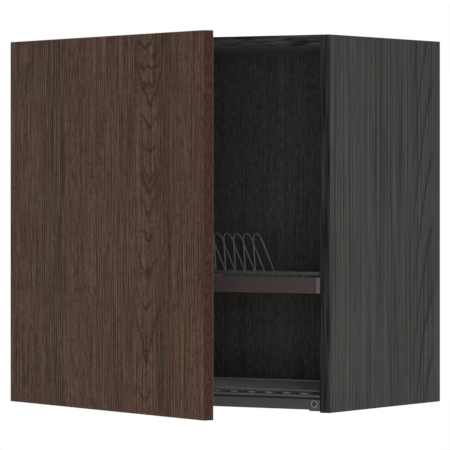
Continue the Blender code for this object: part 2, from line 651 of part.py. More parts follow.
def make_outer_link(level, parent, material):
    """The two cheeks of the shorter link, joined by the pin that turns in the cup."""
    height = HINGE_HEIGHTS[level]
    offset = (-FRONT_PIVOT.x, -FRONT_PIVOT.y, 0)
    name = f"outer_link_{level}"
    route = link_route(OUTER_CUP_PIVOT, FRONT_PIVOT, OUTER_LINK_BEND_SHARES,
                       OUTER_LINK_BEND_OFFSETS)
    outline = bar_outline(route, OUTER_LINK_HALF_WIDTH)
    bm = bmesh.new()
    for turn in (-1, 1):
        near = OUTER_LINK_START
        layers = sorted(height + turn * layer for layer in (near, near + OUTER_LINK_THICKNESS))
        add_prism(bm, outline, "Z", *layers)
    link = finish_mesh(name, bm, material, parent, offset)
    half = OUTER_LINK_START + OUTER_LINK_THICKNESS - SEAT_GAP
    pin = bmesh.new()
    x, y = OUTER_CUP_PIVOT.x, OUTER_CUP_PIVOT.y
    add_rod(pin, (x, y, height - half), (x, y, height + half), PIN_RADIUS)
    combine(link, finish_mesh(name + "_cup_pin", pin, None, parent, offset), "UNION")
    hole = bmesh.new()
    x, y, reach = FRONT_PIVOT.x, FRONT_PIVOT.y, ARM_HALF
    add_rod(hole, (x, y, height - reach), (x, y, height + reach), PIN_RADIUS + SEAT_GAP)
    return combine(link, finish_mesh(name + "_hole", hole, None, parent, offset), "DIFFERENCE")


def arm_outline():
    """Side view of the hinge arm's sheet, from its foot on the mounting plate to both pivots."""
    side_face = -INNER_HALF
    foot, crest = side_face + ARM_BASE, side_face + ARM_HEIGHT
    points = [(foot, ARM_REAR_DEPTH), (foot, ARM_FOOT_FRONT)]
    points += arc_points(FRONT_PIVOT, EAR_RADIUS, 200, 330, 6)
    points += arc_points(REAR_PIVOT, EAR_RADIUS, -20, 110, 6)
    points += [(crest, ARM_BEND_DEPTH + EAR_RADIUS), (crest, ARM_REAR_DEPTH)]
    return points


def make_hinge_arm(level, parent, material):
    """A folded steel arm: two cheeks joined by a web, with stub rivets for the outer link."""
    height = HINGE_HEIGHTS[level]
    crest = -INNER_HALF + ARM_HEIGHT
    name = f"hinge_arm_{level}"
    bm = bmesh.new()
    outline = arm_outline()
    for turn in (-1, 1):
        layers = sorted((height + turn * ARM_START, height + turn * ARM_HALF))
        add_prism(bm, outline, "Z", *layers)
    arm = finish_mesh(name, bm, material, parent)
    web = bmesh.new()
    inner = ARM_START + WELD_OVERLAP
    add_box(web, (crest - ARM_SHEET, ARM_WEB_FRONT, height - inner),
            (crest - WELD_OVERLAP / 4, ARM_REAR_DEPTH - WELD_OVERLAP / 4, height + inner))
    combine(arm, finish_mesh(name + "_web", web, None, parent), "UNION")
    rivets = bmesh.new()
    for turn in (-1, 1):
        start = height + turn * OUTER_LINK_START
        add_rod(rivets, (FRONT_PIVOT.x, FRONT_PIVOT.y, start),
                (FRONT_PIVOT.x, FRONT_PIVOT.y, height + turn * (ARM_START + WELD_OVERLAP)), PIN_RADIUS)
    combine(arm, finish_mesh(name + "_rivets", rivets, None, parent), "UNION")
    cuts = bmesh.new()
    x, y = REAR_PIVOT.x, REAR_PIVOT.y
    reach = ARM_HALF + CUT_OVERRUN
    add_rod(cuts, (x, y, height - reach), (x, y, height + reach), PIN_RADIUS + SEAT_GAP)
    add_rod(cuts, (crest - ARM_SHEET - CUT_OVERRUN, ARM_SCREW_DEPTH, height),
            (crest + CUT_OVERRUN, ARM_SCREW_DEPTH, height), SCREW_SHANK_RADIUS + SEAT_GAP)
    return combine(arm, finish_mesh(name + "_cuts", cuts, None, parent), "DIFFERENCE")


def make_hinge_plate(level, parent, material):
    """The cross-shaped mounting plate with the raised boss that carries the arm."""
    height = HINGE_HEIGHTS[level]
    name = f"hinge_plate_{level}"
    low = -INNER_HALF + SEAT_GAP
    wing = PLATE_SCREW_SPACING / 2 + PLATE_WING_REACH
    boss_half = ARM_START - SEAT_GAP * 2
    front, rear = PLATE_SCREW_DEPTH - PLATE_WING_HALF, PLATE_SCREW_DEPTH + PLATE_WING_HALF
    outline = [(front, -wing), (rear, -wing), (rear, -boss_half), (PLATE_BOSS_REAR, -boss_half),
               (PLATE_BOSS_REAR, boss_half), (rear, boss_half), (rear, wing), (front, wing)]
    bm = bmesh.new()
    add_prism(bm, [(y, height + z) for y, z in outline], "X", low, low + PLATE_THICKNESS)
    plate = finish_mesh(name, bm, material, parent)
    boss = bmesh.new()
    top, boss_rear = -INNER_HALF + PLATE_BOSS_HEIGHT, PLATE_BOSS_REAR - WELD_OVERLAP
    add_box(boss, (low + WELD_OVERLAP, PLATE_BOSS_FRONT, height - boss_half + WELD_OVERLAP),
            (top, boss_rear, height + boss_half - WELD_OVERLAP))
    combine(plate, finish_mesh(name + "_boss", boss, None, parent), "UNION")
    cuts = bmesh.new()
    for seat in plate_screw_seats(height):
        seat = Vector(seat)
        reach = Vector((PLATE_THICKNESS + CUT_OVERRUN, 0, 0))
        add_rod(cuts, seat - reach, seat + reach, SCREW_SHANK_RADIUS + SEAT_GAP)
    add_rod(cuts, (top - ARM_SCREW_SHANK - SCREW_SHANK_RADIUS, ARM_SCREW_DEPTH, height),
            (top + CUT_OVERRUN, ARM_SCREW_DEPTH, height), SCREW_SHANK_RADIUS + SEAT_GAP)
    return combine(plate, finish_mesh(name + "_cuts", cuts, None, parent), "DIFFERENCE")


def cup_screw_places(height):
    x = CUP_CENTRE_X + CUP_SCREW_OFFSET
    return [(x, height + turn * CUP_SCREW_SPACING / 2) for turn in (-1, 1)]


def make_hinge_cup(level, parent, material, offset):
    """The pressed cup in the door: bowl, flange with screw tabs, and two ears for the link pins."""
    height = HINGE_HEIGHTS[level]
    name = f"hinge_cup_{level}"
    outer = CUP_BORE_RADIUS - SEAT_GAP
    inner = outer - CUP_WALL
    depth = CUP_BORE_DEPTH - SEAT_GAP
    flange_low, flange_high = SEAT_GAP, SEAT_GAP + CUP_FLANGE_THICKNESS
    rim = CUP_BORE_RADIUS + CUP_FLANGE_REACH
    profile = [(0, -depth), (outer, -depth), (outer, flange_low), (rim, flange_low), (rim, flange_high),
               (inner, flange_high), (inner, CUP_WALL - depth), (0, CUP_WALL - depth)]
    bm = bmesh.new()
    add_lathe(bm, profile, (CUP_CENTRE_X, DOOR_REAR, height), (0, 1, 0), CUP_STEPS)
    cup = finish_mesh(name, bm, material, parent, offset, smooth_degrees=40)
    tabs = bmesh.new()
    for x, z in cup_screw_places(height):
        turn = 1 if z > height else -1
        spans = sorted((height + turn * (inner + CUP_WALL / 2), z + turn * CUP_TAB_HALF_WIDTH))
        add_box(tabs, (x - CUP_TAB_HALF_WIDTH, DOOR_REAR + flange_low, spans[0]),
                (x + CUP_TAB_HALF_WIDTH, DOOR_REAR + flange_high - WELD_OVERLAP / 2, spans[1]))
    combine(cup, finish_mesh(name + "_tabs", tabs, None, parent, offset), "UNION")
    ears = bmesh.new()
    ear_end = INNER_CUP_PIVOT.x + EAR_RADIUS * 2
    for turn in (-1, 1):
        spans = sorted(height + turn * layer for layer in (EAR_START, EAR_START + EAR_THICKNESS))
        add_box(ears, (CUP_CENTRE_X - inner - WELD_OVERLAP / 2, DOOR_REAR - depth + CUP_WALL / 2, spans[0]),
                (ear_end, DOOR_REAR + SEAT_GAP, spans[1]))
    combine(cup, finish_mesh(name + "_ears", ears, None, parent, offset), "UNION")
    cuts = bmesh.new()
    reach = EAR_START + EAR_THICKNESS + SEAT_GAP / 2
    for pivot, clearance in ((INNER_CUP_PIVOT, SEAT_GAP), (OUTER_CUP_PIVOT, OPEN_PIVOT_CLEARANCE)):
        x, y = pivot.x, pivot.y
        add_rod(cuts, (x, y, height - reach), (x, y, height + reach), PIN_RADIUS + clearance)
    add_box(cuts, (CUP_CENTRE_X - rim - CUT_OVERRUN, DOOR_REAR - LINK_NOTCH_DEPTH, height - EAR_START),
            (INNER_CUP_PIVOT.x - LINK_HALF_WIDTH, DOOR_REAR + CUT_OVERRUN, height + EAR_START))
    for x, z in cup_screw_places(height):
        ends = ((x, DOOR_REAR - CUT_OVERRUN, z), (x, DOOR_REAR + CUT_OVERRUN, z))
        add_rod(cuts, *ends, SCREW_SHANK_RADIUS + SEAT_GAP)
    return combine(cup, finish_mesh(name + "_cuts", cuts, None, parent, offset), "DIFFERENCE")


def make_door(parent, offset, material):
    bm = bmesh.new()
    add_box(bm, (-HALF_WIDTH + DOOR_REVEAL, DOOR_FRONT, DOOR_REVEAL),
            (HALF_WIDTH - DOOR_REVEAL, DOOR_REAR, CARCASS_HEIGHT - DOOR_REVEAL))
    door = round_edges(finish_mesh("door_panel", bm, material, parent, offset), DOOR_EDGE_ROUND)
    cuts = bmesh.new()
    for height in HINGE_HEIGHTS.values():
        add_rod(cuts, (CUP_CENTRE_X, DOOR_REAR - CUP_BORE_DEPTH, height),
                (CUP_CENTRE_X, DOOR_REAR + CUT_OVERRUN, height), CUP_BORE_RADIUS, CUP_STEPS)
        for x, z in cup_screw_places(height):
            depth = SCREW_SHANK_LENGTH + SCREW_SHANK_RADIUS
            ends = ((x, DOOR_REAR - depth, z), (x, DOOR_REAR + CUT_OVERRUN, z))
            add_rod(cuts, *ends, SCREW_SHANK_RADIUS + SEAT_GAP)
    return combine(door, finish_mesh("door_panel_cuts", cuts, None, parent, offset), "DIFFERENCE")


def make_bumpers(parent, offset, material):
    """Two soft discs on the door's inner face, which meet the right side panel's edge."""
    x = HALF_WIDTH - DOOR_REVEAL - BUMPER_INSET
    low = DOOR_REVEAL + BUMPER_INSET * 2
    for level, z in (("lower", low), ("upper", CARCASS_HEIGHT - low)):
        bm = bmesh.new()
        add_rod(bm, (x, DOOR_REAR + SEAT_GAP, z), (x, -SEAT_GAP, z), BUMPER_RADIUS)
        finish_mesh("door_bumper_" + level, bm, material, parent, offset, smooth_degrees=40)


def foot_places():
    """X of the feet of each plate loop, from right to left at an even pitch."""
    first = INNER_HALF - FIRST_LOOP_FROM_SIDE
    lean = (LOOP_HEIGHT - RACK_WIRE_RADIUS) * math.tan(math.radians(LOOP_LEAN_DEGREES))
    room = first - lean - RACK_WIRE_RADIUS + INNER_HALF - RACK_SIDE_MARGIN / 2
    return [first - index * RACK_PITCH for index in range(int(room / RACK_PITCH) + 1)]


def loop_route(foot_x):
    """The bent wire of one plate loop: a leg, a round top and a second leg, leaning to the left."""
    rise = RACK_WIRE_Z + LOOP_HEIGHT - LOOP_TOP_RADIUS - FOOT_BAR_Z
    half = LOOP_FOOT_SPREAD / 2
    # Each leg touches the round top where the leg is square to its radius
    start = math.acos(LOOP_TOP_RADIUS / math.hypot(half, rise)) - math.atan2(rise, half)
    sweep = (math.degrees(start), 180 - math.degrees(start))
    flat = [(half, 0), *arc_points((0, rise), LOOP_TOP_RADIUS, *sweep, LOOP_TOP_STEPS), (-half, 0)]
    lean = math.tan(math.radians(LOOP_LEAN_DEGREES))
    return [(foot_x - up * lean, LOOP_MIDDLE_DEPTH + across, FOOT_BAR_Z + up) for across, up in flat]


def make_plate_rack(parent, material):
    """The flat grid that rests in the upper rails, and the loops that stand on two bars under it."""
    feet = foot_places()
    half = INNER_HALF - UPPER_BRACKET_WIDTH - CROSSBAR_RADIUS
    depths = (FRONT_BAR_DEPTH, REAR_BAR_DEPTH)
    bars = [[(-half, depth, CROSSBAR_Z), (half, depth, CROSSBAR_Z)] for depth in depths]
    places = [foot - RACK_PITCH / 2 for foot in feet[TIE_WIRE_STEPS - 1::TIE_WIRE_STEPS]]
    room = INNER_HALF - RACK_SIDE_MARGIN - feet[0] - RACK_PITCH / 2
    places += [feet[0] + RACK_PITCH * (index + 0.5) for index in range(int(room / RACK_PITCH) + 1)]
    wires = [rack_wire(x) for x in places]
    make_wirework("plate_rack_grid", [(CROSSBAR_RADIUS, bars), (RACK_WIRE_RADIUS, wires)], material, parent)
    ends = (feet[-1] - FOOT_BAR_RADIUS * 2, feet[0] + FOOT_BAR_RADIUS * 2)
    depths = [LOOP_MIDDLE_DEPTH + turn * LOOP_FOOT_SPREAD / 2 for turn in (-1, 1)]
    foot_bars = [[(x, depth, FOOT_BAR_Z) for x in ends] for depth in depths]
    loops = [loop_route(foot) for foot in feet]
    make_wirework("plate_loops", [(FOOT_BAR_RADIUS, foot_bars), (RACK_WIRE_RADIUS, loops)], material, parent)


def make_front_strip(parent, material):
    """The upright flat bar that lies on the front ends of the plate rack's wires and hides them."""
    half, thick = INNER_HALF - STRIP_SIDE_GAP, STRIP_THICKNESS / 2
    low = RACK_WIRE_Z + RACK_WIRE_RADIUS + SEAT_GAP
    bm = bmesh.new()
    add_box(bm, (-half, FRONT_BAR_DEPTH - thick, low), (half, FRONT_BAR_DEPTH + thick, low + STRIP_HEIGHT))
    round_edges(finish_mesh("plate_rack_front_strip", bm, material, parent), STRIP_ROUND)


def rack_wire(x):
    """A straight wire from the front crossbar to the rear one, lying on top of them."""
    depths = (FRONT_BAR_DEPTH - CROSSBAR_RADIUS, REAR_BAR_DEPTH + CROSSBAR_RADIUS)
    return [(x, depth, RACK_WIRE_Z) for depth in depths]


def make_glass_rack(parent, material):
    """One long wire bent to and fro in U turns, between crossbars."""
    width = 2 * (INNER_HALF - GLASS_SIDE_MARGIN - GLASS_WIRE_RADIUS)
    runs = int(width / GLASS_PITCH) + 1
    first = -(runs - 1) * GLASS_PITCH / 2
    turn = GLASS_PITCH / 2
    inset = TRAY_RIM_WIDTH + GLASS_EDGE_GAP + GLASS_WIRE_RADIUS + turn
    front = LOWER_RAIL_FACE - TRAY_FRONT_OVERLAP + inset
    rear = BACK_FACE - SEAT_GAP * 2 - inset
    route = []
    for index in range(runs):
        x = first + index * GLASS_PITCH
        forward = index % 2 == 1
        ends = [(x, rear), (x, front)] if forward else [(x, front), (x, rear)]
        route += ends
        if index < runs - 1:
            middle = (x + turn, front if forward else rear)
            sweep = (180, 360) if forward else (180, 0)
            route += arc_points(middle, turn, *sweep, 6)[1:-1]
    half = -first + GLASS_WIRE_RADIUS
    middle = (front + rear) / 2
    depths = [LOWER_RAIL_FACE + GLASS_BAR_BEHIND_FACE, middle, BACK_FACE - SEAT_GAP - GLASS_BAR_BEHIND_FACE]
    bars = [[(-half, depth, GLASS_BAR_Z), (half, depth, GLASS_BAR_Z)] for depth in depths]
    wire = [(x, y, GLASS_WIRE_Z) for x, y in route]
    raised = GLASS_WIRE_Z + GLASS_WIRE_RADIUS + GLASS_TOP_BAR_RADIUS - WELD_OVERLAP
    top_bars = [[(x, y, raised) for x, y, z in bar] for bar in (bars[0], bars[-1])]
    layers = [(GLASS_CROSSBAR_RADIUS, bars), (GLASS_WIRE_RADIUS, [wire]), (GLASS_TOP_BAR_RADIUS, top_bars)]
    make_wirework("glass_rack", layers, material, parent)


def rounded_ring(bm, low, high, corner, z):
    """A ring of points round a rectangle with round corners, at one height."""
    points = []
    corners = [((high[0] - corner, high[1] - corner), 0), ((low[0] + corner, high[1] - corner), 90),
               ((low[0] + corner, low[1] + corner), 180), ((high[0] - corner, low[1] + corner), 270)]
    for centre, start in corners:
        points += arc_points(centre, corner, start, start + 90, 3)
    return [bm.verts.new((x, y, z)) for x, y in points]


def make_tray(parent, material):
    """The drip tray: a bowl between the lower rails, a flange on top of them and a beaded rim."""
    half = INNER_HALF - TRAY_SIDE_GAP
    front = LOWER_RAIL_FACE - TRAY_FRONT_OVERLAP
    rear = BACK_FACE - SEAT_GAP * 2
    clear = RAIL_DEPTH + SEAT_GAP * 2
    bowl_low = (-half + LOWER_BRACKET_WIDTH / 4, LOWER_RAIL_FACE + clear)
    bowl_high = (half - LOWER_BRACKET_WIDTH / 4, BACK_FACE - SEAT_GAP - clear)
    flange, rim_top = TRAY_FLANGE_Z, TRAY_FLANGE_Z + TRAY_RIM_HEIGHT
    floor, bead = flange - TRAY_DROP, rim_top - TRAY_BEAD_HEIGHT
    low, high = (-half, front), (half, rear)
    sheet = TRAY_SHEET

    def shrunk(amount):
        return (low[0] + amount, low[1] + amount), (high[0] - amount, high[1] - amount)

    def bowl(amount):
        return (bowl_low[0] + amount, bowl_low[1] + amount), (bowl_high[0] - amount, bowl_high[1] - amount)

    bm = bmesh.new()
    rings = [(bowl(sheet * 2), TRAY_CORNER, floor), (bowl(0), TRAY_CORNER, floor + sheet * 2),
             (bowl(0), TRAY_CORNER, flange), (shrunk(TRAY_BEAD_REACH), sheet, flange),
             (shrunk(TRAY_BEAD_REACH), sheet, bead), (shrunk(0), sheet, bead),
             (shrunk(0), sheet, rim_top - TRAY_BEAD_ROUND), (shrunk(TRAY_BEAD_ROUND), sheet, rim_top),
             (shrunk(TRAY_RIM_WIDTH), sheet, rim_top), (shrunk(TRAY_RIM_WIDTH), sheet, flange + sheet),
             (bowl(sheet), TRAY_CORNER, flange + sheet), (bowl(sheet), TRAY_CORNER, floor + sheet * 3),
             (bowl(sheet * 3), TRAY_CORNER, floor + sheet)]
    loops = [rounded_ring(bm, *span, corner, z) for span, corner, z in rings]
    for before, after in zip(loops, loops[1:]):
        for index in range(len(before)):
            bm.faces.new((before[index - 1], before[index], after[index], after[index - 1]))
    bm.faces.new(loops[0][::-1])
    bm.faces.new(loops[-1])
    return finish_mesh("drip_tray", bm, material, parent, smooth_degrees=30)


def make_empty(name, location, parent=None, turn_degrees=0.0):
    empty = bpy.data.objects.new(name, None)
    bpy.context.scene.collection.objects.link(empty)
    empty.parent = parent
    empty.location = location
    empty.rotation_euler = (0, 0, math.radians(turn_degrees))
    return empty


def door_pivot_place():
    """Where the inner link carries its cup pivot when the door stands open."""
    turn = Matrix.Rotation(math.radians(INNER_LINK_TURN_SHARE * DOOR_OPEN_DEGREES), 3, "Z")
    return REAR_PIVOT + turn @ (INNER_CUP_PIVOT - REAR_PIVOT)


def make_carcass(root, looks):
    for name, side in (("side_panel_left", -1), ("side_panel_right", 1)):
        make_side_panel(name, side, root, looks["side_veneer"])
    make_top_panel(root, looks["side_veneer"])
    make_back_panel(root, looks["back_board"])
    make_dowels(root, looks["dowel_wood"])
    for name, side in (("hanging_bracket_left", -1), ("hanging_bracket_right", 1)):
        make_hanger(name, side, root, looks["hinge_steel"])
        lift = Vector((side * (HANGER_SHEET + SEAT_GAP * 2), 0, 0))
        seat = Vector(hanger_screw_seat(side)) - lift
        make_screw(name + "_screw", seat, (side, 0, 0), looks["screw_steel"], root)


def make_rails(root, looks):
    for level in ("upper", "lower"):
        for end in ("front", "rear"):
            make_rail(level, end, root, looks["rail_metal"])
            for side in (-1, 1):
                make_bracket(level, end, side, root, looks["bracket_plastic"])
    for tag, side in (("left", -1), ("right", 1)):
        seat = Vector(clamp_screw_seat(side)) - Vector((0, SEAT_GAP, 0))
        make_screw("rail_clamp_screw_" + tag, seat, (0, 1, 0), looks["screw_steel"], root)


def make_hinges(root, looks):
    turn = DOOR_OPEN_DEGREES
    inner_pivot = make_empty("inner_link_pivot", REAR_PIVOT, root, INNER_LINK_TURN_SHARE * turn)
    outer_pivot = make_empty("outer_link_pivot", FRONT_PIVOT, root, OUTER_LINK_TURN_SHARE * turn)
    inward_screw = (-1, 0, 0)
    for level, height in HINGE_HEIGHTS.items():
        make_hinge_plate(level, root, looks["hinge_steel"])
        make_hinge_arm(level, root, looks["hinge_steel"])
        make_inner_link(level, inner_pivot, looks["hinge_steel"])
        make_outer_link(level, outer_pivot, looks["hinge_steel"])
        for tag, seat in zip(("low", "high"), plate_screw_seats(height)):
            seat = Vector(seat) + Vector((PLATE_THICKNESS + SEAT_GAP * 2, 0, 0))
            make_screw(f"hinge_plate_screw_{level}_{tag}", seat, inward_screw, looks["screw_steel"], root)
        seat = (-INNER_HALF + ARM_HEIGHT + SEAT_GAP, ARM_SCREW_DEPTH, height)
        make_screw("hinge_arm_screw_" + level, seat, inward_screw, looks["screw_steel"], root,
                   shank=ARM_SCREW_SHANK)


def make_door_group(root, looks):
    pivot = make_empty("door_pivot", door_pivot_place(), root, -DOOR_OPEN_DEGREES)
    offset = (-INNER_CUP_PIVOT.x, -INNER_CUP_PIVOT.y, 0)
    make_door(pivot, offset, looks["door_veneer"])
    make_bumpers(pivot, offset, looks["bumper_plastic"])
    lift = CUP_FLANGE_THICKNESS + SEAT_GAP * 2
    for level, height in HINGE_HEIGHTS.items():
        make_hinge_cup(level, pivot, looks["hinge_steel"], offset)
        for tag, (x, z) in zip(("low", "high"), cup_screw_places(height)):
            name = f"hinge_cup_screw_{level}_{tag}"
            make_screw(name, (x, DOOR_REAR + lift, z), (0, -1, 0), looks["screw_steel"], pivot, offset)


def main():
    clear_scene()
    looks = {name: make_material(name) for name in MATERIAL_LOOKS}
    origin = (0, -CARCASS_DEPTH, PANEL_THICKNESS / 2 - CARCASS_HEIGHT)
    root = make_empty("cabinet_origin", origin)
    make_carcass(root, looks)
    make_rails(root, looks)
    make_hinges(root, looks)
    make_door_group(root, looks)
    rack = make_empty("plate_rack_origin", (0, 0, 0), root)
    make_plate_rack(rack, looks["wire_coat"])
    make_front_strip(rack, looks["rail_metal"])
    tray = make_empty("drip_tray_origin", (0, 0, 0), root)
    make_tray(tray, looks["tray_plastic"])
    make_glass_rack(make_empty("glass_rack_origin", (0, 0, 0), tray), looks["wire_coat"])


main()
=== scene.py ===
# %% [markdown]
# # A dish drying cabinet, dressed for its picture
#
# The cabinet's solids come ready made: boards, rails, hinges, racks and tray, each in its place.
# This lesson gives them their looks. First it loads the solids, then it makes each finish as a
# node material, then it makes the wires again with round sections, and last it sets up the
# light, the backdrop and the camera.

# %% Load the solids
import json
import math

import bmesh
import bpy
from mathutils import Matrix, Vector


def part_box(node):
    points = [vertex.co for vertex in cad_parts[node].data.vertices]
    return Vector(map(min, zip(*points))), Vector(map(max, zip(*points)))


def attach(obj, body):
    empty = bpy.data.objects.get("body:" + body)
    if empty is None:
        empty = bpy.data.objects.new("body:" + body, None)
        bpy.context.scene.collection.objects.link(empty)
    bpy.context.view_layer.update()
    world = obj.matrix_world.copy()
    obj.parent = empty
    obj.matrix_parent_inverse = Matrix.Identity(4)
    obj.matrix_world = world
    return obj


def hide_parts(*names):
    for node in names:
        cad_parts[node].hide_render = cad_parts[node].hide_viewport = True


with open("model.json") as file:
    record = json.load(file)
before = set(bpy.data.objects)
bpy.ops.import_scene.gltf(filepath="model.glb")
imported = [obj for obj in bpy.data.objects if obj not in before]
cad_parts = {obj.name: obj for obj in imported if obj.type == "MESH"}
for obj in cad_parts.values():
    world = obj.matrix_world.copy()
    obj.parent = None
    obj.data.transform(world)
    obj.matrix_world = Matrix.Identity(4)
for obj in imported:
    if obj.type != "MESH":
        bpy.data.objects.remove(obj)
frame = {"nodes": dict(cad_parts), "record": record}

scene = bpy.context.scene
nodes = frame["nodes"]
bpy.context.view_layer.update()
print("solids:", len(nodes))

# %% [markdown]
# ## Where things are
#
# All lengths are metres. The origin is the middle of the top board's rear edge, so the front
# edges of the boards are at Y = -0.370 and their lower ends at Z = -0.591. It is easier to read a
# drawing that counts from the cabinet's front and from its lower edge, so a small function turns
# such a place into a place in the scene.

# %% The cabinet's own measures
DEPTH = 0.370
LOWER_EDGE = -0.591
UNDER_TOP = 0.582


def spot(x, depth, height):
    """A place counted from the middle, from the front edges and from the lower edge."""
    return Vector((x, depth - DEPTH, height + LOWER_EDGE))


print("front lower right corner of the side board:", spot(0.3, 0, 0))

# %% [markdown]
# ## Small helpers for node materials
#
# A node material is a graph. Writing each node by hand is long, so one helper adds a node and
# fills in its inputs: an input that is given a socket is linked, and one that is given a number
# is set. The sums are Math nodes under short names, so that a formula can be read in one line.

# %% Helpers: nodes and sums
def add_node(tree, kind, inputs=None, **settings):
    node = tree.nodes.new(kind)
    for name, value in settings.items():
        setattr(node, name, value)
    for key, value in (inputs or {}).items():
        if isinstance(value, bpy.types.NodeSocket):
            tree.links.new(value, node.inputs[key])
        else:
            node.inputs[key].default_value = value
    return node


def sum_of(tree, operation, first, second=0.0, third=0.0, clamp=False):
    inputs = {0: first, 1: second, 2: third}
    return add_node(tree, "ShaderNodeMath", inputs, operation=operation, use_clamp=clamp).outputs[0]


def plus(tree, first, second, clamp=False):
    return sum_of(tree, "ADD", first, second, clamp=clamp)


def minus(tree, first, second):
    return sum_of(tree, "SUBTRACT", first, second)


def times(tree, first, second):
    return sum_of(tree, "MULTIPLY", first, second)


def times_plus(tree, first, second, third, clamp=False):
    """first times second, plus third."""
    return sum_of(tree, "MULTIPLY_ADD", first, second, third, clamp)


def over(tree, first, second, clamp=False):
    return sum_of(tree, "DIVIDE", first, second, clamp=clamp)


def unsigned(tree, value):
    return sum_of(tree, "ABSOLUTE", value)


print("sum helpers ready")

# %% [markdown]
# A ramp turns a value into a colour or a grey, with a list of stops. A mix lays one colour over
# another. With the blend type Multiply it takes the first colour times the second, so a board gets
# darker or redder in places without losing its grain. That is the helper called tinted.

# %% Helpers: ramps and mixes
def with_alpha(tone):
    """A grey number or a colour of three numbers, as the four numbers that a node wants."""
    return (*tone, 1.0) if isinstance(tone, tuple) else (tone, tone, tone, 1.0)


def ramp(tree, value, stops, smooth=False):
    node = add_node(tree, "ShaderNodeValToRGB", {0: value})
    if smooth:
        node.color_ramp.interpolation = "EASE"
    elements = node.color_ramp.elements
    while len(elements) < len(stops):
        elements.new(0.5)
    for element, (place, tone) in zip(elements, stops):
        element.position = place
        element.color = with_alpha(tone)
    return node.outputs[0]


def mix_colours(tree, factor, first, second, blend="MIX"):
    if isinstance(second, tuple):
        second = with_alpha(second)
    inputs = {0: factor, 6: first, 7: second}
    node = add_node(tree, "ShaderNodeMix", inputs, data_type="RGBA", blend_type=blend)
    return node.outputs[2]


def tinted(tree, colour, tone, factor=1.0):
    """The colour times a tone, where the factor is 1, and as it was where the factor is 0."""
    return mix_colours(tree, factor, colour, tone, "MULTIPLY")


print("colour helpers ready")

# %% [markdown]
# Every pattern is laid out in the Object coordinates. They are metres on the object itself, so a
# pattern keeps its scale and stays on its piece when the piece moves. Noise gives the irregular
# values. Stretching the coordinates before the noise turns its round blots into fibres. A picture
# could be laid over the boards instead, but nodes stay sharp in any close view.

# %% Helpers: coordinates, noise and a new material
def placed(tree, location=(0, 0, 0), turn=0.0):
    """Object coordinates, turned about Z and then shifted."""
    source = add_node(tree, "ShaderNodeTexCoord").outputs["Object"]
    inputs = {"Vector": source, "Location": location, "Rotation": (0, 0, turn)}
    return add_node(tree, "ShaderNodeMapping", inputs, vector_type="POINT").outputs[0]


def cabinet_place(tree):
    """Object coordinates, with Y counted from the front edges and Z from the lower edge."""
    return placed(tree, (0.0, DEPTH, -LOWER_EDGE))


def stretched(tree, place, scale):
    inputs = {0: place, 1: scale}
    return add_node(tree, "ShaderNodeVectorMath", inputs, operation="MULTIPLY").outputs[0]


def parts_of(tree, place):
    """The place's X, Y and Z, each as a value."""
    return add_node(tree, "ShaderNodeSeparateXYZ", {0: place}).outputs


def noise(tree, place, scale, detail=2.0, roughness=0.5, distortion=0.0):
    inputs = {"Vector": place, "Scale": scale, "Detail": detail, "Roughness": roughness,
              "Distortion": distortion}
    return add_node(tree, "ShaderNodeTexNoise", inputs).outputs[0]


def start_material(name, roughness, metallic=0.0, specular=0.5):
    material = bpy.data.materials.new(name)
    material.use_nodes = True
    shader = material.node_tree.nodes["Principled BSDF"]
    shader.inputs["Roughness"].default_value = roughness
    shader.inputs["Metallic"].default_value = metallic
    shader.inputs["Specular IOR Level"].default_value = specular
    return material, material.node_tree, shader


def bump(tree, shader, height, distance):
    inputs = {"Height": height, "Distance": distance, "Strength": 1.0}
    tree.links.new(add_node(tree, "ShaderNodeBump", inputs).outputs[0], shader.inputs["Normal"])


print("material helpers ready")

# %% [markdown]
# ## Upright wood grain
#
# Wood is made of long fibres, so all of its marks are noises that are squeezed across the board
# and stretched along it. Fine lines run the whole height, a little wavy. Dashes are shorter, and
# broad soft bands change slowly across the board. Pores are the short dark slits between the
# fibres, so only the noise's highest values count for them. The even ribs that show on some leaves
# of veneer are a sine wave, which drifts a little to and fro.

# %% Grain values
def fibres(tree, place, across, along, detail=2.0, roughness=0.5, distortion=0.0):
    """A noise with about this many blots per metre across and along the board, from 0 to 1."""
    squeezed = stretched(tree, place, (across, across, along))
    return noise(tree, squeezed, 1.0, detail, roughness, distortion)


def long_lines(tree, place, across, along, detail):
    return fibres(tree, place, across, along, detail, 0.68, 0.10)


def dashes(tree, place, across, along, detail=2.0):
    return fibres(tree, place, across, along, detail, 0.6, 0.25)


def soft_bands(tree, place, across, along):
    return fibres(tree, place, across, along, 2.0, 0.5, 0.3)


def pores(tree, place, across, along, start):
    raw = fibres(tree, place, across, along, 2.0, 0.6)
    return ramp(tree, raw, [(start, 0.0), (start + 0.10, 1.0)])


def ribs(tree, value, pitch, drift=0.0):
    """Even waves along a value, one per pitch, from -1 to 1."""
    return sum_of(tree, "SINE", times_plus(tree, value, math.tau / pitch, drift))


def contrasted(tree, value, amount, onto=0.5):
    """onto, plus the value's distance from the middle grey times an amount."""
    return times_plus(tree, minus(tree, value, 0.5), amount, onto)


print("grain values ready")

# %% [markdown]
# Two more values serve both the door and the boards. One marks a stretch, such as a leaf of
# veneer, with narrow soft ends. The other draws the nested curves, called cathedrals, of wood that
# was cut through the side of the log. They are a height that falls with the distance from the
# leaf's middle and is cut into even steps, with one thin line per step.
#
# The last helper here finishes a wood material. Where the lines are dark, the wood is duller and
# a very little lower.

# %% Stretches, cathedrals and the wood's sheen
BOWL_POWER, BOWL_DEPTH = 1.6, 1.7
WOOD_RELIEF = 0.00015


def between(tree, value, start, end, blur=0.0015):
    """1 where the value lies between start and end and 0 outside, with narrow soft ends."""
    rise = over(tree, minus(tree, value, start - blur), blur * 2, clamp=True)
    fall = over(tree, minus(tree, end + blur, value), blur * 2, clamp=True)
    return times(tree, rise, fall)


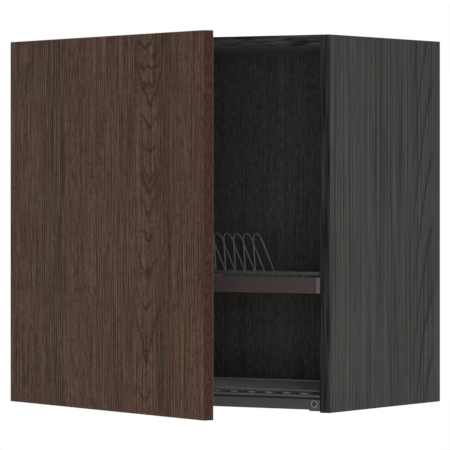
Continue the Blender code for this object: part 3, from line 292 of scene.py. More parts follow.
def cathedral(tree, x, z, middle, half_width, step, wander, sharp, down=1.0):
    """Nested curves about one leaf's middle: 1 on a line and 0 between lines.

    down says how steeply they fall to the sides, or rise where it is negative.
    """
    side = over(tree, minus(tree, x, middle), half_width)
    bowl = times(tree, sum_of(tree, "POWER", unsigned(tree, side), BOWL_POWER), BOWL_DEPTH)
    height = minus(tree, over(tree, z, step), times(tree, bowl, down))
    saw = sum_of(tree, "FRACT", plus(tree, height, wander))
    stops = [(0.0, 0.15), (sharp, 1.0), (sharp * 1.5, 0.35), (sharp * 3.5, 0.0)]
    near = ramp(tree, unsigned(tree, side), [(0.45, 1.0), (1.15, 0.0)], smooth=True)
    return times(tree, ramp(tree, saw, stops), near)


def finish_wood(tree, shader, colour, lines, spots):
    """Links the colour, and lets the grain set the sheen and a very shallow relief."""
    tree.links.new(colour, shader.inputs["Base Color"])
    sheen = ramp(tree, lines, [(0.3, 0.62), (0.7, 0.50)])
    tree.links.new(sheen, shader.inputs["Roughness"])
    bump(tree, shader, minus(tree, lines, spots), WOOD_RELIEF)


print("the relief of the wood is", round(WOOD_RELIEF * 1000, 2), "mm")

# %% [markdown]
# ## The door's veneer
#
# The door is faced with brown veneer, laid as narrow leaves side by side. Each leaf has its own
# tone and its own grain: some are plain, some have fine even ribs, and one near the free edge was
# cut through the side of the log, so dark V and W shapes stand there on slanting lines.
#
# The door stands open, so its pattern needs the door's own width. The Object coordinates are
# turned back by the door's angle and shifted, so that X runs along the door from its hinge edge
# and Z up from its foot.

# %% Door: where its pattern lies
DOOR_OPEN = math.radians(25.65)
DOOR_WIDTH = 0.597
DOOR_THICKNESS = 0.018
HINGE_CORNER = Vector((-0.299795, -0.391051))
door_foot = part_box("door_panel")[0].z


def door_place(tree):
    turned = Matrix.Rotation(DOOR_OPEN, 2) @ HINGE_CORNER
    return placed(tree, (-turned.x, -turned.y, -door_foot), DOOR_OPEN)


print("the door's foot is at Z =", round(door_foot, 4))

# %% [markdown]
# The door's lines are long lines, dashes and a fine speckle, laid over each other. Each leaf adds
# its own strength to the long lines and to the ribs. The table has a row per leaf: its start and
# end along the door, the extra strength of its lines, and that of its ribs.

# %% Door: fine grain
LINE_STRENGTH, DASH_STRENGTH, SPECKLE_STRENGTH = 1.35, 0.55, 0.54
DOOR_RIB_STRENGTH, DOOR_RIB_PITCH, DOOR_RIB_DRIFT = 0.03, 0.0064, 13.0
LEAF_GRAIN = (
    (0.100, 0.179, 0.70, 0.200), (0.179, 0.277, -0.40, 0.020), (0.277, 0.396, 0.10, 0.150),
    (0.396, 0.456, 0.20, 0.050), (0.456, 0.500, 0.30, 0.100), (0.500, 0.5925, 0.10, 0.090),
)


def door_grain(tree, place, x):
    """The door's fine lines, as a value about 0.5."""
    crisp, ribbed = LINE_STRENGTH, DOOR_RIB_STRENGTH
    for start, end, more_lines, more_ribs in LEAF_GRAIN:
        here = between(tree, x, start, end)
        crisp = times_plus(tree, here, more_lines, crisp)
        ribbed = times_plus(tree, here, more_ribs, ribbed)
    lines = contrasted(tree, long_lines(tree, place, 345.0, 6.0, 1.0), crisp)
    lines = contrasted(tree, dashes(tree, place, 330.0, 60.0, 1.0), DASH_STRENGTH, lines)
    lines = contrasted(tree, fibres(tree, place, 300.0, 200.0, 1.0), SPECKLE_STRENGTH, lines)
    drift = times(tree, fibres(tree, place, 45.0, 7.0), DOOR_RIB_DRIFT)
    return times_plus(tree, ribs(tree, x, DOOR_RIB_PITCH, drift), ribbed, lines)


print("leaves with their own grain:", len(LEAF_GRAIN))

# %% [markdown]
# One leaf shows the log's heart. Its lines slant up from the middle to both sides like fish
# bones, so they are ribs along a height that falls with the distance from the middle. Dark marks
# stand on them. Each is a V: the places whose height over the V's point is the distance from the
# middle times a slope. Folding that distance once more makes a W of it.

# %% Door: the heart leaf
HEART, HEART_LEAF, HEART_BLUR = 0.432, (0.403, 0.461), 0.006
BONE_PITCH, BONE_SLOPE, BONE_STRENGTH = 0.0125, 1.45, 0.060
MARK_THICKNESS, MARK_FADE = 0.0043, 2.4
# Each row is one mark: height, middle, slope, reach to each side, and fold (0 for a V).
V_MARKS = (
    (0.573, 0.426, 0.75, 0.026, 0.0), (0.556, 0.447, 0.85, 0.024, 0.0),
    (0.541, 0.437, 0.45, 0.040, 0.011), (0.513, 0.438, 0.75, 0.030, 0.008),
    (0.481, 0.441, 1.55, 0.050, 0.0), (0.448, 0.441, 1.05, 0.024, 0.0),
    (0.412, 0.438, 0.70, 0.022, 0.006), (0.366, 0.440, 0.95, 0.024, 0.0),
    (0.345, 0.440, 1.20, 0.030, 0.0), (0.310, 0.436, 1.55, 0.026, 0.0),
    (0.272, 0.437, 1.05, 0.022, 0.0), (0.217, 0.433, 1.50, 0.036, 0.006),
    (0.165, 0.428, 0.80, 0.020, 0.0), (0.084, 0.430, 2.30, 0.042, 0.0),
    (0.022, 0.426, 0.80, 0.028, 0.0),
)


def sideways_wobble(tree, place):
    """A small unsteady shift to the side, in metres, that breaks up straight lines."""
    return times_plus(tree, fibres(tree, place, 90.0, 45.0, 3.0), 0.026, -0.013)


def fish_bones(tree, x, z, wobble):
    side = unsigned(tree, plus(tree, minus(tree, x, HEART), wobble))
    rise = times_plus(tree, side, -BONE_SLOPE, z)
    return times(tree, ribs(tree, rise, BONE_PITCH), between(tree, x, *HEART_LEAF, HEART_BLUR))


def v_marks(tree, x, z, wobble):
    """1 on a dark V or W and 0 elsewhere."""
    shown = None
    for height, middle, slope, reach, fold in V_MARKS:
        side = unsigned(tree, plus(tree, minus(tree, x, middle), wobble))
        arm = unsigned(tree, minus(tree, side, fold))
        away = unsigned(tree, times_plus(tree, arm, -slope, minus(tree, z, height)))
        fall_off = -1.0 / (MARK_THICKNESS * math.hypot(1, slope))
        line = times_plus(tree, away, fall_off, 1.0, clamp=True)
        near = times_plus(tree, side, -MARK_FADE / reach, MARK_FADE, clamp=True)
        mark = times(tree, line, near)
        shown = mark if shown is None else sum_of(tree, "MAXIMUM", shown, mark)
    return shown


print("marks on the heart leaf:", len(V_MARKS))

# %% [markdown]
# The colour starts as a ramp of browns over the lines. Short streaks make it redder or greener,
# and soft bands make it darker or paler. Then each leaf is multiplied by its own tone. Two leaves
# have faint cathedrals. The leaf at the hinge edge has three small knots, which are soft ovals in a
# dull green brown, multiplied onto it.

# %% Door: tones, cathedrals and knots
DOOR_BROWNS = [(0.24, (0.030, 0.0155, 0.0105)), (0.45, (0.063, 0.0345, 0.0235)),
               (0.55, (0.078, 0.0435, 0.0295)), (0.76, (0.104, 0.061, 0.042))]
REDDER_OR_GREENER = [(0.36, (0.96, 0.88, 0.89)), (0.64, (1.05, 1.12, 1.09))]
DARKER_OR_PALER = [(0.30, (0.90, 0.89, 0.88)), (0.70, (1.10, 1.11, 1.12))]
LEAF_TONES = (
    (0.000, 0.088, (1.00, 1.01, 1.02)), (0.088, 0.106, (0.93, 0.98, 0.99)),
    (0.106, 0.179, (0.85, 0.93, 0.92)), (0.179, 0.252, (1.06, 1.04, 1.05)),
    (0.252, 0.276, (1.16, 1.12, 1.13)), (0.277, 0.333, (0.95, 0.94, 0.94)),
    (0.333, 0.396, (1.02, 1.00, 1.01)), (0.396, 0.456, (1.00, 0.98, 1.00)),
    (0.456, 0.500, (0.73, 0.75, 0.73)), (0.500, 0.5925, (0.97, 0.94, 0.89)),
)
DOOR_DARK = (0.018, 0.008, 0.005)
# Each row of the cathedrals: middle, half width, step, share and sharpness.
DOOR_CATHEDRALS = ((0.046, 0.040, 0.110, 0.42, 0.12), (0.214, 0.030, 0.082, 0.42, 0.10))
# Each row of the knots: middle, height, half width, half height and share.
KNOTS = ((0.052, 0.536, 0.0110, 0.035, 1.0), (0.051, 0.036, 0.0125, 0.0095, 1.0),
         (0.054, 0.252, 0.0200, 0.026, 0.45))
KNOT_TONE = (0.54, 0.71, 0.63)


def knot(tree, x, z, middle, height, half_width, half_height):
    """A soft oval: 1 in its middle and 0 outside."""
    across = over(tree, minus(tree, x, middle), half_width)
    up = over(tree, minus(tree, z, height), half_height)
    away = plus(tree, times(tree, across, across), times(tree, up, up))
    return ramp(tree, away, [(0.15, 1.0), (1.0, 0.0)], smooth=True)


def door_colour(tree, place, x, z, lines, wobble):
    colour = ramp(tree, lines, DOOR_BROWNS)
    colour = tinted(tree, colour, ramp(tree, fibres(tree, place, 60.0, 16.0), REDDER_OR_GREENER))
    colour = tinted(tree, colour, ramp(tree, soft_bands(tree, place, 28.0, 0.8), DARKER_OR_PALER))
    for start, end, tone in LEAF_TONES:
        colour = tinted(tree, colour, tone, between(tree, x, start, end))
    wander = times(tree, fibres(tree, place, 30.0, 9.0), 1.2)
    for middle, half, step, share, sharp in DOOR_CATHEDRALS:
        curves = cathedral(tree, x, z, middle, half, step, wander, sharp)
        colour = mix_colours(tree, times(tree, curves, share), colour, DOOR_DARK)
    beside = plus(tree, x, wobble)
    for middle, height, half, tall, share in KNOTS:
        here = times(tree, knot(tree, beside, z, middle, height, half, tall), share)
        colour = tinted(tree, colour, KNOT_TONE, here)
    return colour


print("leaf tones:", len(LEAF_TONES), "knots:", len(KNOTS))

# %% [markdown]
# The door's narrow edges have a redder, darker edging strip with short flecks, and a paler line
# at the rear, where the strip was trimmed. The last function puts the door's finish together:
# lines, colour, marks, pores and edging. The marks are broken up by a noise, so that they look
# like wood and not like drawn lines.

# %% Door: edging and the finished veneer
EDGE_WIDTH, EDGE_BLUR, BEYOND_EDGE, TRIMMED_WIDTH = 0.0006, 0.0002, 0.01, 0.0009
EDGING_REDS = [(0.34, (0.021, 0.008, 0.007)), (0.50, (0.050, 0.021, 0.017)),
               (0.66, (0.078, 0.034, 0.027))]
TRIMMED_TONE = (0.150, 0.115, 0.120)
MARK_SHARE, DOOR_PORE_SHARE = 0.96, 0.62
WOOD_ROUGHNESS, WOOD_SPECULAR = 0.55, 0.06


def add_door_edging(tree, place, x, depth, colour):
    edging = ramp(tree, dashes(tree, place, 620.0, 110.0), EDGING_REDS)
    trimmed = sum_of(tree, "GREATER_THAN", depth, DOOR_THICKNESS - TRIMMED_WIDTH)
    edging = mix_colours(tree, trimmed, edging, TRIMMED_TONE)
    free_edge = between(tree, x, DOOR_WIDTH - EDGE_WIDTH, DOOR_WIDTH + BEYOND_EDGE, EDGE_BLUR)
    hinge_edge = between(tree, x, -BEYOND_EDGE, EDGE_WIDTH, EDGE_BLUR)
    return mix_colours(tree, plus(tree, free_edge, hinge_edge, clamp=True), colour, edging)


def make_door_veneer():
    material, tree, shader = start_material("door_veneer_look", WOOD_ROUGHNESS,
                                            specular=WOOD_SPECULAR)
    place = door_place(tree)
    x, depth, z = parts_of(tree, place)
    wobble = sideways_wobble(tree, place)
    lines = door_grain(tree, place, x)
    lines = times_plus(tree, fish_bones(tree, x, z, wobble), BONE_STRENGTH, lines)
    colour = door_colour(tree, place, x, z, lines, wobble)
    broken = ramp(tree, fibres(tree, place, 140.0, 110.0), [(0.36, 0.50), (0.46, 1.0)])
    marks = times(tree, times(tree, v_marks(tree, x, z, wobble), broken), MARK_SHARE)
    colour = mix_colours(tree, marks, colour, DOOR_DARK)
    spots = times(tree, pores(tree, place, 230.0, 44.0, 0.55), DOOR_PORE_SHARE)
    colour = mix_colours(tree, spots, colour, DOOR_DARK)
    colour = add_door_edging(tree, place, x, depth, colour)
    finish_wood(tree, shader, colour, lines, spots)
    return material


door_veneer = make_door_veneer()
print("door veneer nodes:", len(door_veneer.node_tree.nodes))

# %% [markdown]
# ## The cabinet's charcoal board
#
# The sides and the top are board with a printed charcoal wood-grain face, pressed on as a film.
# The grain is dashes with long lines over them. On the sides it also has fine even ribs, which
# are strong near the front edge and faint further back.

# %% Board: fine grain
BOARD_LINE_STRENGTH = 0.20
SIDE_RIB_PITCH, SIDE_RIB_DRIFT, SIDE_RIB_STRENGTH = 0.0095, 12.0, 0.075


def board_grain(tree, place, across, run, crisp):
    """The board's fine lines, as a value about 0.5."""
    lines = contrasted(tree, dashes(tree, place, across, run * 2.5, 1.0), crisp)
    return contrasted(tree, long_lines(tree, place, 170.0, run, 2.0), BOARD_LINE_STRENGTH, lines)


def add_side_ribs(tree, place, depth, lines):
    drift = times(tree, fibres(tree, place, 30.0, 2.0, 1.0), SIDE_RIB_DRIFT)
    waves = ribs(tree, depth, SIDE_RIB_PITCH, drift)
    waves = times(tree, waves, ramp(tree, depth, [(0.10, 1.0), (0.17, 0.3)]))
    return times_plus(tree, waves, SIDE_RIB_STRENGTH, lines)


print("ribs per side board:", round(DEPTH / SIDE_RIB_PITCH))

# %% [markdown]
# The board's colour is a ramp of greys over the lines, and all of them are a little warmer than
# neutral. Its contrast can be lowered towards the middle grey, for the fainter back. The side
# boards have a few tall curves towards the rear. They are halves of cathedrals: only the flank in
# front of or behind the middle shows.

# %% Board: colour and tall curves
MIDDLE_GREY = 0.053
BOARD_DARK = (0.014, 0.0135, 0.0125)
# Each row of the curves: middle, half width, step, share, and flank (-1 in front, 1 behind).
SIDE_CURVES = ((0.356, 0.110, 0.112, 0.95, -1.0), (0.170, 0.090, 0.26, 0.55, 1.0))
CURVE_SHARPNESS, CURVE_DOWN, CURVE_WANDER = 0.13, -2.2, 0.7


def charcoal(value, tone=1.0):
    """A dark grey, a little warmer than neutral."""
    return (value * tone, value * tone * 0.970, value * tone * 0.90)


def board_colour(tree, place, lines, tone, light, contrast):
    greys = [(0.25, 0.024), (0.45, 0.052), (0.55, 0.060), (0.75, light)]
    stops = [(stop, charcoal(MIDDLE_GREY + (value - MIDDLE_GREY) * contrast, tone))
             for stop, value in greys]
    shade = ramp(tree, soft_bands(tree, place, 34.0, 0.9), [(0.30, 0.97), (0.70, 1.03)])
    return tinted(tree, ramp(tree, lines, stops), shade)


def add_side_curves(tree, place, depth, z, colour, dark):
    wander = times(tree, fibres(tree, place, 9.0, 3.0, 1.0), CURVE_WANDER)
    for middle, half, step, share, flank in SIDE_CURVES:
        curves = cathedral(tree, depth, z, middle, half, step, wander, CURVE_SHARPNESS, CURVE_DOWN)
        aside = times(tree, minus(tree, depth, middle), flank)
        shown = times(tree, curves, ramp(tree, aside, [(0.004, 0.0), (0.020, 1.0)]))
        colour = mix_colours(tree, times(tree, shown, share), colour, dark)
    return colour


print("middle grey:", [round(part, 4) for part in charcoal(MIDDLE_GREY)])

# %% [markdown]
# The front edges carry a darker edging strip with flecks along it. The top board's underside gets
# paler towards the rear as painted light, where the photo shows it so. Both are laid over the
# finished grain: the first as a new colour in the first millimetre of depth, and the second as
# a tone.

# %% Board: front strip and underside
STRIP_DEPTH, STRIP_END = 0.0007, 0.0009
STRIP_LOW, STRIP_HIGH = 0.006, 0.036
UNDERSIDE_SLACK = 0.0005


def add_front_strip(tree, place, depth, colour, tone, across, along):
    front = ramp(tree, depth, [(0.0, 1.0), (STRIP_DEPTH, 1.0), (STRIP_END, 0.0)])
    stops = [(0.38, charcoal(STRIP_LOW, tone)), (0.64, charcoal(STRIP_HIGH, tone))]
    strip = ramp(tree, dashes(tree, place, across, along), stops)
    return mix_colours(tree, front, colour, strip)


def add_painted_underside_light(tree, depth, z, colour, front_tone, rear_tone):
    low = sum_of(tree, "LESS_THAN", z, UNDER_TOP + UNDERSIDE_SLACK)
    inside = times(tree, low, sum_of(tree, "GREATER_THAN", depth, STRIP_END))
    # Painted light: the underside is made paler, more so towards the rear.
    paler = ramp(tree, over(tree, depth, DEPTH), [(0.0, front_tone), (1.0, rear_tone)])
    return tinted(tree, colour, paler, inside)


print("the strip is", round(STRIP_END * 1000, 2), "mm deep")

# %% [markdown]
# One function makes all three boards. The grain runs up the sides and along the top, so for the
# top board the place's X and Z change places, and the same fibres then lie along it. The back is a
# thin fibreboard with a shorter, fainter grain, and it has neither curves nor edging.

# %% The three boards
STREAK_SHARE, BOARD_PORE_SHARE = 0.80, 0.45


def make_board(name, tone=1.0, light=0.070, contrast=1.0, across=300.0, run=1.4, crisp=1.15,
               along_x=False, curves=False, strip=None, underside=None):
    material, tree, shader = start_material(name, WOOD_ROUGHNESS, specular=WOOD_SPECULAR)
    place = cabinet_place(tree)
    x, depth, z = parts_of(tree, place)
    if along_x:
        place = add_node(tree, "ShaderNodeCombineXYZ", {0: z, 1: depth, 2: x}).outputs[0]
    lines = board_grain(tree, place, across, run, crisp)
    if curves:
        lines = add_side_ribs(tree, place, depth, lines)
    colour = board_colour(tree, place, lines, tone, light, contrast)
    dark = tuple(part * tone for part in BOARD_DARK)
    if curves:
        colour = add_side_curves(tree, place, depth, z, colour, dark)
    streaks = times(tree, pores(tree, place, 270.0, 1.2, 0.54), STREAK_SHARE * contrast)
    colour = mix_colours(tree, streaks, colour, dark)
    spots = times(tree, pores(tree, place, 330.0, 26.0, 0.56), BOARD_PORE_SHARE)
    colour = mix_colours(tree, spots, colour, dark)
    if strip:
        colour = add_front_strip(tree, place, depth, colour, *strip)
    if underside:
        colour = add_painted_underside_light(tree, depth, z, colour, *underside)
    finish_wood(tree, shader, colour, lines, spots)
    return material


side_board = make_board("side_board_look", curves=True, strip=(1.0, 420.0, 9.0))
# The underside's two tones are painted light, paler at the rear than at the front.
top_board = make_board("top_board_look", along_x=True, strip=(1.30, 230.0, 22.0),
                       underside=(1.6, 2.5))
back_board = make_board("back_board_look", tone=1.10, light=0.090, contrast=0.40, across=220.0,
                        run=36.0, crisp=1.40)
print("boards:", side_board.name, top_board.name, back_board.name)

# %% [markdown]
# ## Metals and plastics
#
# The rails are drawn metal with a satin, dark grey coat and faint lines along their length. The
# wires have a light grey coat with a slight orange-peel. The hinges are bright plated steel. The
# tray and the brackets are moulded, so their surface is even with a fine grain that breaks up
# the highlights. Each of these is one function with a colour, a roughness and a noise. Stretching
# the noise along the rails makes the drawn lines of it.
#
# Two finishes also change with the depth, as the photo shows. The glass rack's coat is painted
# paler towards the rear, as painted light for the dimmer light deep in the cabinet. Its front turns
# are painted darker as shade, and darkest, as a painted shadow, between their round ends and the
# first thin bar. The tray's front and rear rims are painted darker than its floor as shade, with a
# nearly black painted shadow in the groove of the front rim.

# %% One function for the plain finishes
BROAD_SCALE, BROAD_SHARE = 0.03, 0.5
ROUGHNESS_SPREAD = 0.15
ZONE_BLUR, GROOVE_BLUR = 0.0008, 0.0002
FRONT_RIM = (-0.01, 0.006)
COAT_RELIEF = 0.00003


def toned_by_depth(tree, colour, rearward_painted_light=1.0, zones=(), groove=None):
    """The colour, multiplied towards the rear and with other colours in bands of the depth."""
    behind, height = parts_of(tree, cabinet_place(tree))[1:]
    # Painted light and shade: the ramp pales the colour towards the rear, and the bands and the
    # groove darken it.
    paler = ramp(tree, over(tree, behind, DEPTH), [(0.0, 1.0), (1.0, rearward_painted_light)])
    colour = tinted(tree, colour, paler)
    for start, end, tone in zones:
        colour = mix_colours(tree, between(tree, behind, start, end, ZONE_BLUR), colour, tone)
    if groove:
        low, high, tone = groove
        inside = between(tree, height, low, high, GROOVE_BLUR)
        inside = times(tree, inside, between(tree, behind, *FRONT_RIM))
        colour = mix_colours(tree, inside, colour, tone)
    return colour


def make_plain(name, colour, roughness, metallic=0.0, specular=0.5, grain=900.0,
               stretch=(1, 1, 1), spread=0.10, by_depth=None):
    material, tree, shader = start_material(name, roughness, metallic, specular)
    place = stretched(tree, placed(tree), stretch)
    fine = noise(tree, place, grain, 3.0, 0.6)
    broad = noise(tree, place, grain * BROAD_SCALE)
    both = plus(tree, times(tree, fine, 1 - BROAD_SHARE), times(tree, broad, BROAD_SHARE))
    dark, light = (tuple(part * share for part in colour) for share in (1 - spread, 1 + spread))
    shown = ramp(tree, both, [(0.35, dark), (0.65, light)])
    if by_depth:
        shown = toned_by_depth(tree, shown, **by_depth)
    tree.links.new(shown, shader.inputs["Base Color"])
    smooth, rough = roughness * (1 - ROUGHNESS_SPREAD), roughness * (1 + ROUGHNESS_SPREAD)
    sheen = ramp(tree, both, [(0.3, smooth), (0.7, rough)])
    tree.links.new(sheen, shader.inputs["Roughness"])
    bump(tree, shader, fine, COAT_RELIEF)
    return material


print("plain finish ready")

# %% [markdown]
# The values of the plain finishes are a table. The colours are linear, as nodes want them, so they
# are darker numbers than the eye would guess. Then each solid gets the finish of its slot, and a
# few of them get one of their own.

# %% The plain finishes, and a look for each solid
DRAWN = (0.03, 1, 1)
WIRE_GRAIN = 2200.0
# Painted shade on the tray: darker front and rear rims, and a nearly black shadow in the front
# rim's groove.
TRAY_RIM_PAINTED_SHADE = ((-0.01, 0.0065, (0.068, 0.065, 0.067)), (0.3400, 0.3600, (0.090, 0.086, 0.085)))
TRAY_GROOVE_PAINTED_SHADOW = (0.0205, 0.0241, (0.012, 0.0115, 0.012))
# Painted shade on the glass rack: its front turns, the band behind them, and the first thin bar.
RACK_PAINTED_SHADE = ((0.0, 0.0105, (0.190, 0.181, 0.178)), (0.0105, 0.0420, (0.090, 0.085, 0.083)),
              (0.0420, 0.0480, (0.215, 0.206, 0.201)))
PLAIN_VALUES = {
    "rail_metal": dict(colour=(0.060, 0.044, 0.044), roughness=0.45, specular=0.12, stretch=DRAWN),
    "lower_rail": dict(colour=(0.056, 0.051, 0.053), roughness=0.45, specular=0.12, stretch=DRAWN),
    "strip": dict(colour=(0.058, 0.060, 0.063), roughness=0.45, specular=0.12, stretch=DRAWN),
    "bracket_plastic": dict(colour=(0.066, 0.060, 0.061), roughness=0.50, specular=0.15),
    "upper_cap": dict(colour=(0.108, 0.102, 0.100), roughness=0.50, specular=0.15),
    "tray_plastic": dict(colour=(0.200, 0.192, 0.190), roughness=0.45, specular=0.15, spread=0.04,
                         by_depth=dict(zones=TRAY_RIM_PAINTED_SHADE, groove=TRAY_GROOVE_PAINTED_SHADOW)),
    "wire_coat": dict(colour=(0.120, 0.118, 0.113), roughness=0.40, specular=0.25,
                      grain=WIRE_GRAIN),
    # The glass coat is painted paler towards the rear, as painted light for the dimmer depth of the
    # cabinet.
    "glass_coat": dict(colour=(0.252, 0.243, 0.233), roughness=0.40, specular=0.25,
                       grain=WIRE_GRAIN, by_depth=dict(rearward_painted_light=1.45, zones=RACK_PAINTED_SHADE)),
    "clamp_steel": dict(colour=(0.040, 0.039, 0.038), roughness=0.40, specular=0.3),
    "hinge_steel": dict(colour=(0.560, 0.560, 0.550), roughness=0.26, metallic=1.0,
                        stretch=(1, 1, 0.2)),
    "screw_steel": dict(colour=(0.500, 0.500, 0.490), roughness=0.32, metallic=1.0),
    "dowel_wood": dict(colour=(0.480, 0.330, 0.180), roughness=0.70, stretch=(0.1, 1, 1)),
    "soft_bumper": dict(colour=(0.550, 0.550, 0.540), roughness=0.35, specular=0.4),
}
plain = {name: make_plain(f"{name}_look", **values) for name, values in PLAIN_VALUES.items()}

look_of_slot = {**plain, "side_veneer": side_board, "door_veneer": door_veneer,
                "back_board": back_board, "bumper_plastic": plain["soft_bumper"]}
look_of_node = {
    "top_panel": top_board, "plate_rack_front_strip": plain["strip"],
    "lower_rail_front": plain["lower_rail"], "lower_rail_rear": plain["lower_rail"],
    "rail_clamp_screw_left": plain["clamp_steel"], "rail_clamp_screw_right": plain["clamp_steel"],
    "upper_bracket_front_left": plain["upper_cap"], "upper_bracket_front_right": plain["upper_cap"],
}
for entry in frame["record"]["subparts"]:
    materials = nodes[entry["node"]].data.materials
    materials.clear()
    materials.append(look_of_node.get(entry["node"], look_of_slot[entry["material_slot"]]))

# %% [markdown]
# ## Round wires
#
# The solids of the racks have wires with few sides, which is right for collision but shows as
# flats in a close view. So each rack is drawn again. A curve object with a bevel could give round
# wires too, but a mesh can be checked and exported as it is. A wire is a disc that is pushed out
# along its route, one step at a time, and turned square to the route at each step.

# %% Helper: push a disc along a route
WIRE_SIDES = 12


def sweep_wire(bm, route, radius):
    """A closed round wire: a disc pushed out step by step and turned square to its route."""
    points = [Vector(point) for point in route]
    steps = [(after - before).normalized() for before, after in zip(points, points[1:])]
    facings = [steps[0], *[(a + b).normalized() for a, b in zip(steps, steps[1:])], steps[-1]]
    turn = Vector((0, 0, 1)).rotation_difference(facings[0]).to_matrix().to_4x4()
    matrix = Matrix.Translation(points[0]) @ turn
    disc = bmesh.ops.create_circle(bm, cap_ends=True, segments=WIRE_SIDES, radius=radius,
                                   matrix=matrix)
    face = disc["verts"][0].link_faces[0]
    for index in range(1, len(points)):
        grown = bmesh.ops.extrude_face_region(bm, geom=[face])["geom"]
        verts = [item for item in grown if isinstance(item, bmesh.types.BMVert)]
        face = next(item for item in grown if isinstance(item, bmesh.types.BMFace))
        bmesh.ops.translate(bm, verts=verts, vec=points[index] - points[index - 1])
        spin = facings[index - 1].rotation_difference(facings[index]).to_matrix()
        bmesh.ops.rotate(bm, verts=verts, cent=points[index], matrix=spin)


print("a wire has", WIRE_SIDES, "sides")

# %% [markdown]
# A finished mesh becomes a piece of the cabinet. It is shaded smooth, apart from the sharp rims at
# the wires' ends. It also gets the slot of its finish, and it rides on the body that carries it,
# so it moves when the rack is lifted out. Bends in the wires are arcs, given as pairs of numbers.

# %% Helpers: a finished piece, and an arc
SHARP_ANGLE = math.radians(40)


def finish_piece(name, bm, material, body):
    bmesh.ops.recalc_face_normals(bm, faces=bm.faces)
    mesh = bpy.data.meshes.new(name)
    bm.to_mesh(mesh)
    bm.free()
    mesh.shade_smooth()
    mesh.set_sharp_from_angle(angle=SHARP_ANGLE)
    mesh.materials.append(material)
    piece = bpy.data.objects.new(name, mesh)
    scene.collection.objects.link(piece)
    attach(piece, body)
    return piece


def arc(centre, radius, start, end, steps):
    """Points on an arc, as pairs. The angles are degrees."""
    turns = [math.radians(start + (end - start) * index / steps) for index in range(steps + 1)]
    return [(centre[0] + radius * math.cos(t), centre[1] + radius * math.sin(t)) for t in turns]


print("half a turn in two steps:", arc((0, 0), 1, 0, 180, 2))

# %% [markdown]
# ## The plate rack
#
# A plate rack is resistance-welded from straightened steel wire and then coated. Two thick bars
# lie in the grooves of the upper rails, and thinner wires lie across them. Under the plates there
# is a wire for every third loop. To the right of the loops there are straight wires only, for cups.
# The places repeat those of the solids, so the new wires lie where the old ones were.

# %% Plate rack: the grid
PITCH, LOOP_COUNT, CUP_WIRES = 0.0190, 18, 9
FEET = [0.0866 - index * PITCH for index in range(LOOP_COUNT)]
BAR_HALF_LENGTH, BAR_DEPTHS, BAR_HEIGHT, BAR_RADIUS = 0.272, (0.0075, 0.3427), 0.2123, 0.0020
GRID_DEPTHS, GRID_HEIGHT, GRID_RADIUS = (0.0070, 0.3440), 0.2155, 0.0015

grid = bmesh.new()
for depth in BAR_DEPTHS:
    ends = [spot(x, depth, BAR_HEIGHT) for x in (-BAR_HALF_LENGTH, BAR_HALF_LENGTH)]
    sweep_wire(grid, ends, BAR_RADIUS)
under_plates = [foot - PITCH / 2 for foot in FEET[2::3]]
under_cups = [FEET[0] + PITCH * (index + 0.5) for index in range(CUP_WIRES)]
for x in under_plates + under_cups:
    sweep_wire(grid, [spot(x, depth, GRID_HEIGHT) for depth in GRID_DEPTHS], GRID_RADIUS)
plate_grid = finish_piece("plate_grid_wires", grid, plain["wire_coat"], "plate_rack")
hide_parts("plate_rack_grid")
print("grid faces:", len(plate_grid.data.polygons))

# %% [markdown]
# Eighteen bent loops stand on two bars under the wires, all leaning the same way so that plates
# rest on them. Each loop is drawn flat first: straight up from a foot, round a bend that the
# straight part runs into smoothly, and down to the other foot. Then its height also moves it
# aside, by the tangent of the lean.

# %% Plate rack: the loops
LEAN = math.tan(math.radians(15.1))
FOOT_HEIGHT, LOOP_MIDDLE = 0.2119, 0.160
LOOP_RISE, LOOP_HALF, LOOP_BEND, BEND_STEPS = 0.0548, 0.0325, 0.0140, 14
LOOP_RADIUS, FOOT_BAR_RADIUS, OVERHANG = 0.0013, 0.0017, 0.0034

meets = math.acos(LOOP_BEND / math.hypot(LOOP_HALF, LOOP_RISE)) - math.atan2(LOOP_RISE, LOOP_HALF)
meets = math.degrees(meets)
bend = arc((0.0, LOOP_RISE), LOOP_BEND, meets, 180 - meets, BEND_STEPS)
outline = [(LOOP_HALF, 0.0), *bend, (-LOOP_HALF, 0.0)]
loops = bmesh.new()
for side in (-1, 1):
    depth = LOOP_MIDDLE + side * LOOP_HALF
    ends = [spot(x, depth, FOOT_HEIGHT) for x in (FEET[-1] - OVERHANG, FEET[0] + OVERHANG)]
    sweep_wire(loops, ends, FOOT_BAR_RADIUS)
for foot in FEET:
    route = [spot(foot - up * LEAN, LOOP_MIDDLE + across, FOOT_HEIGHT + up)
             for across, up in outline]
    sweep_wire(loops, route, LOOP_RADIUS)
plate_loops = finish_piece("plate_loop_wires", loops, plain["wire_coat"], "plate_rack")
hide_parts("plate_loops")
print("the bend starts at", round(meets, 1), "degrees; loop faces:", len(plate_loops.data.polygons))

# %% [markdown]
# ## The glass rack
#
# The lower rack is one long wire bent to and fro, so each end shows a row of round turns. It could
# be made of single rods, but then the turns would be missing. Three bars carry it from below, and
# a thin bar lies across it a little way in from each end. It lies inside the tray's rim and lifts
# out for washing.

# %% Glass rack
GLASS_PITCH, RUNS, TURN_STEPS = 0.01635, 34, 10
TURN = GLASS_PITCH / 2
FRONT_TURN, REAR_TURN, GLASS_HEIGHT, GLASS_RADIUS = 0.017175, 0.333225, 0.0288, 0.0013
CARRIER_DEPTHS, CARRIER_HEIGHT, CARRIER_RADIUS = (0.0145, 0.1752, 0.3402), 0.0252, 0.0024
THIN_DEPTHS, THIN_HEIGHT, THIN_RADIUS = (0.0450, 0.3050), 0.0312, 0.0012
PAST_WIRE = 0.0020

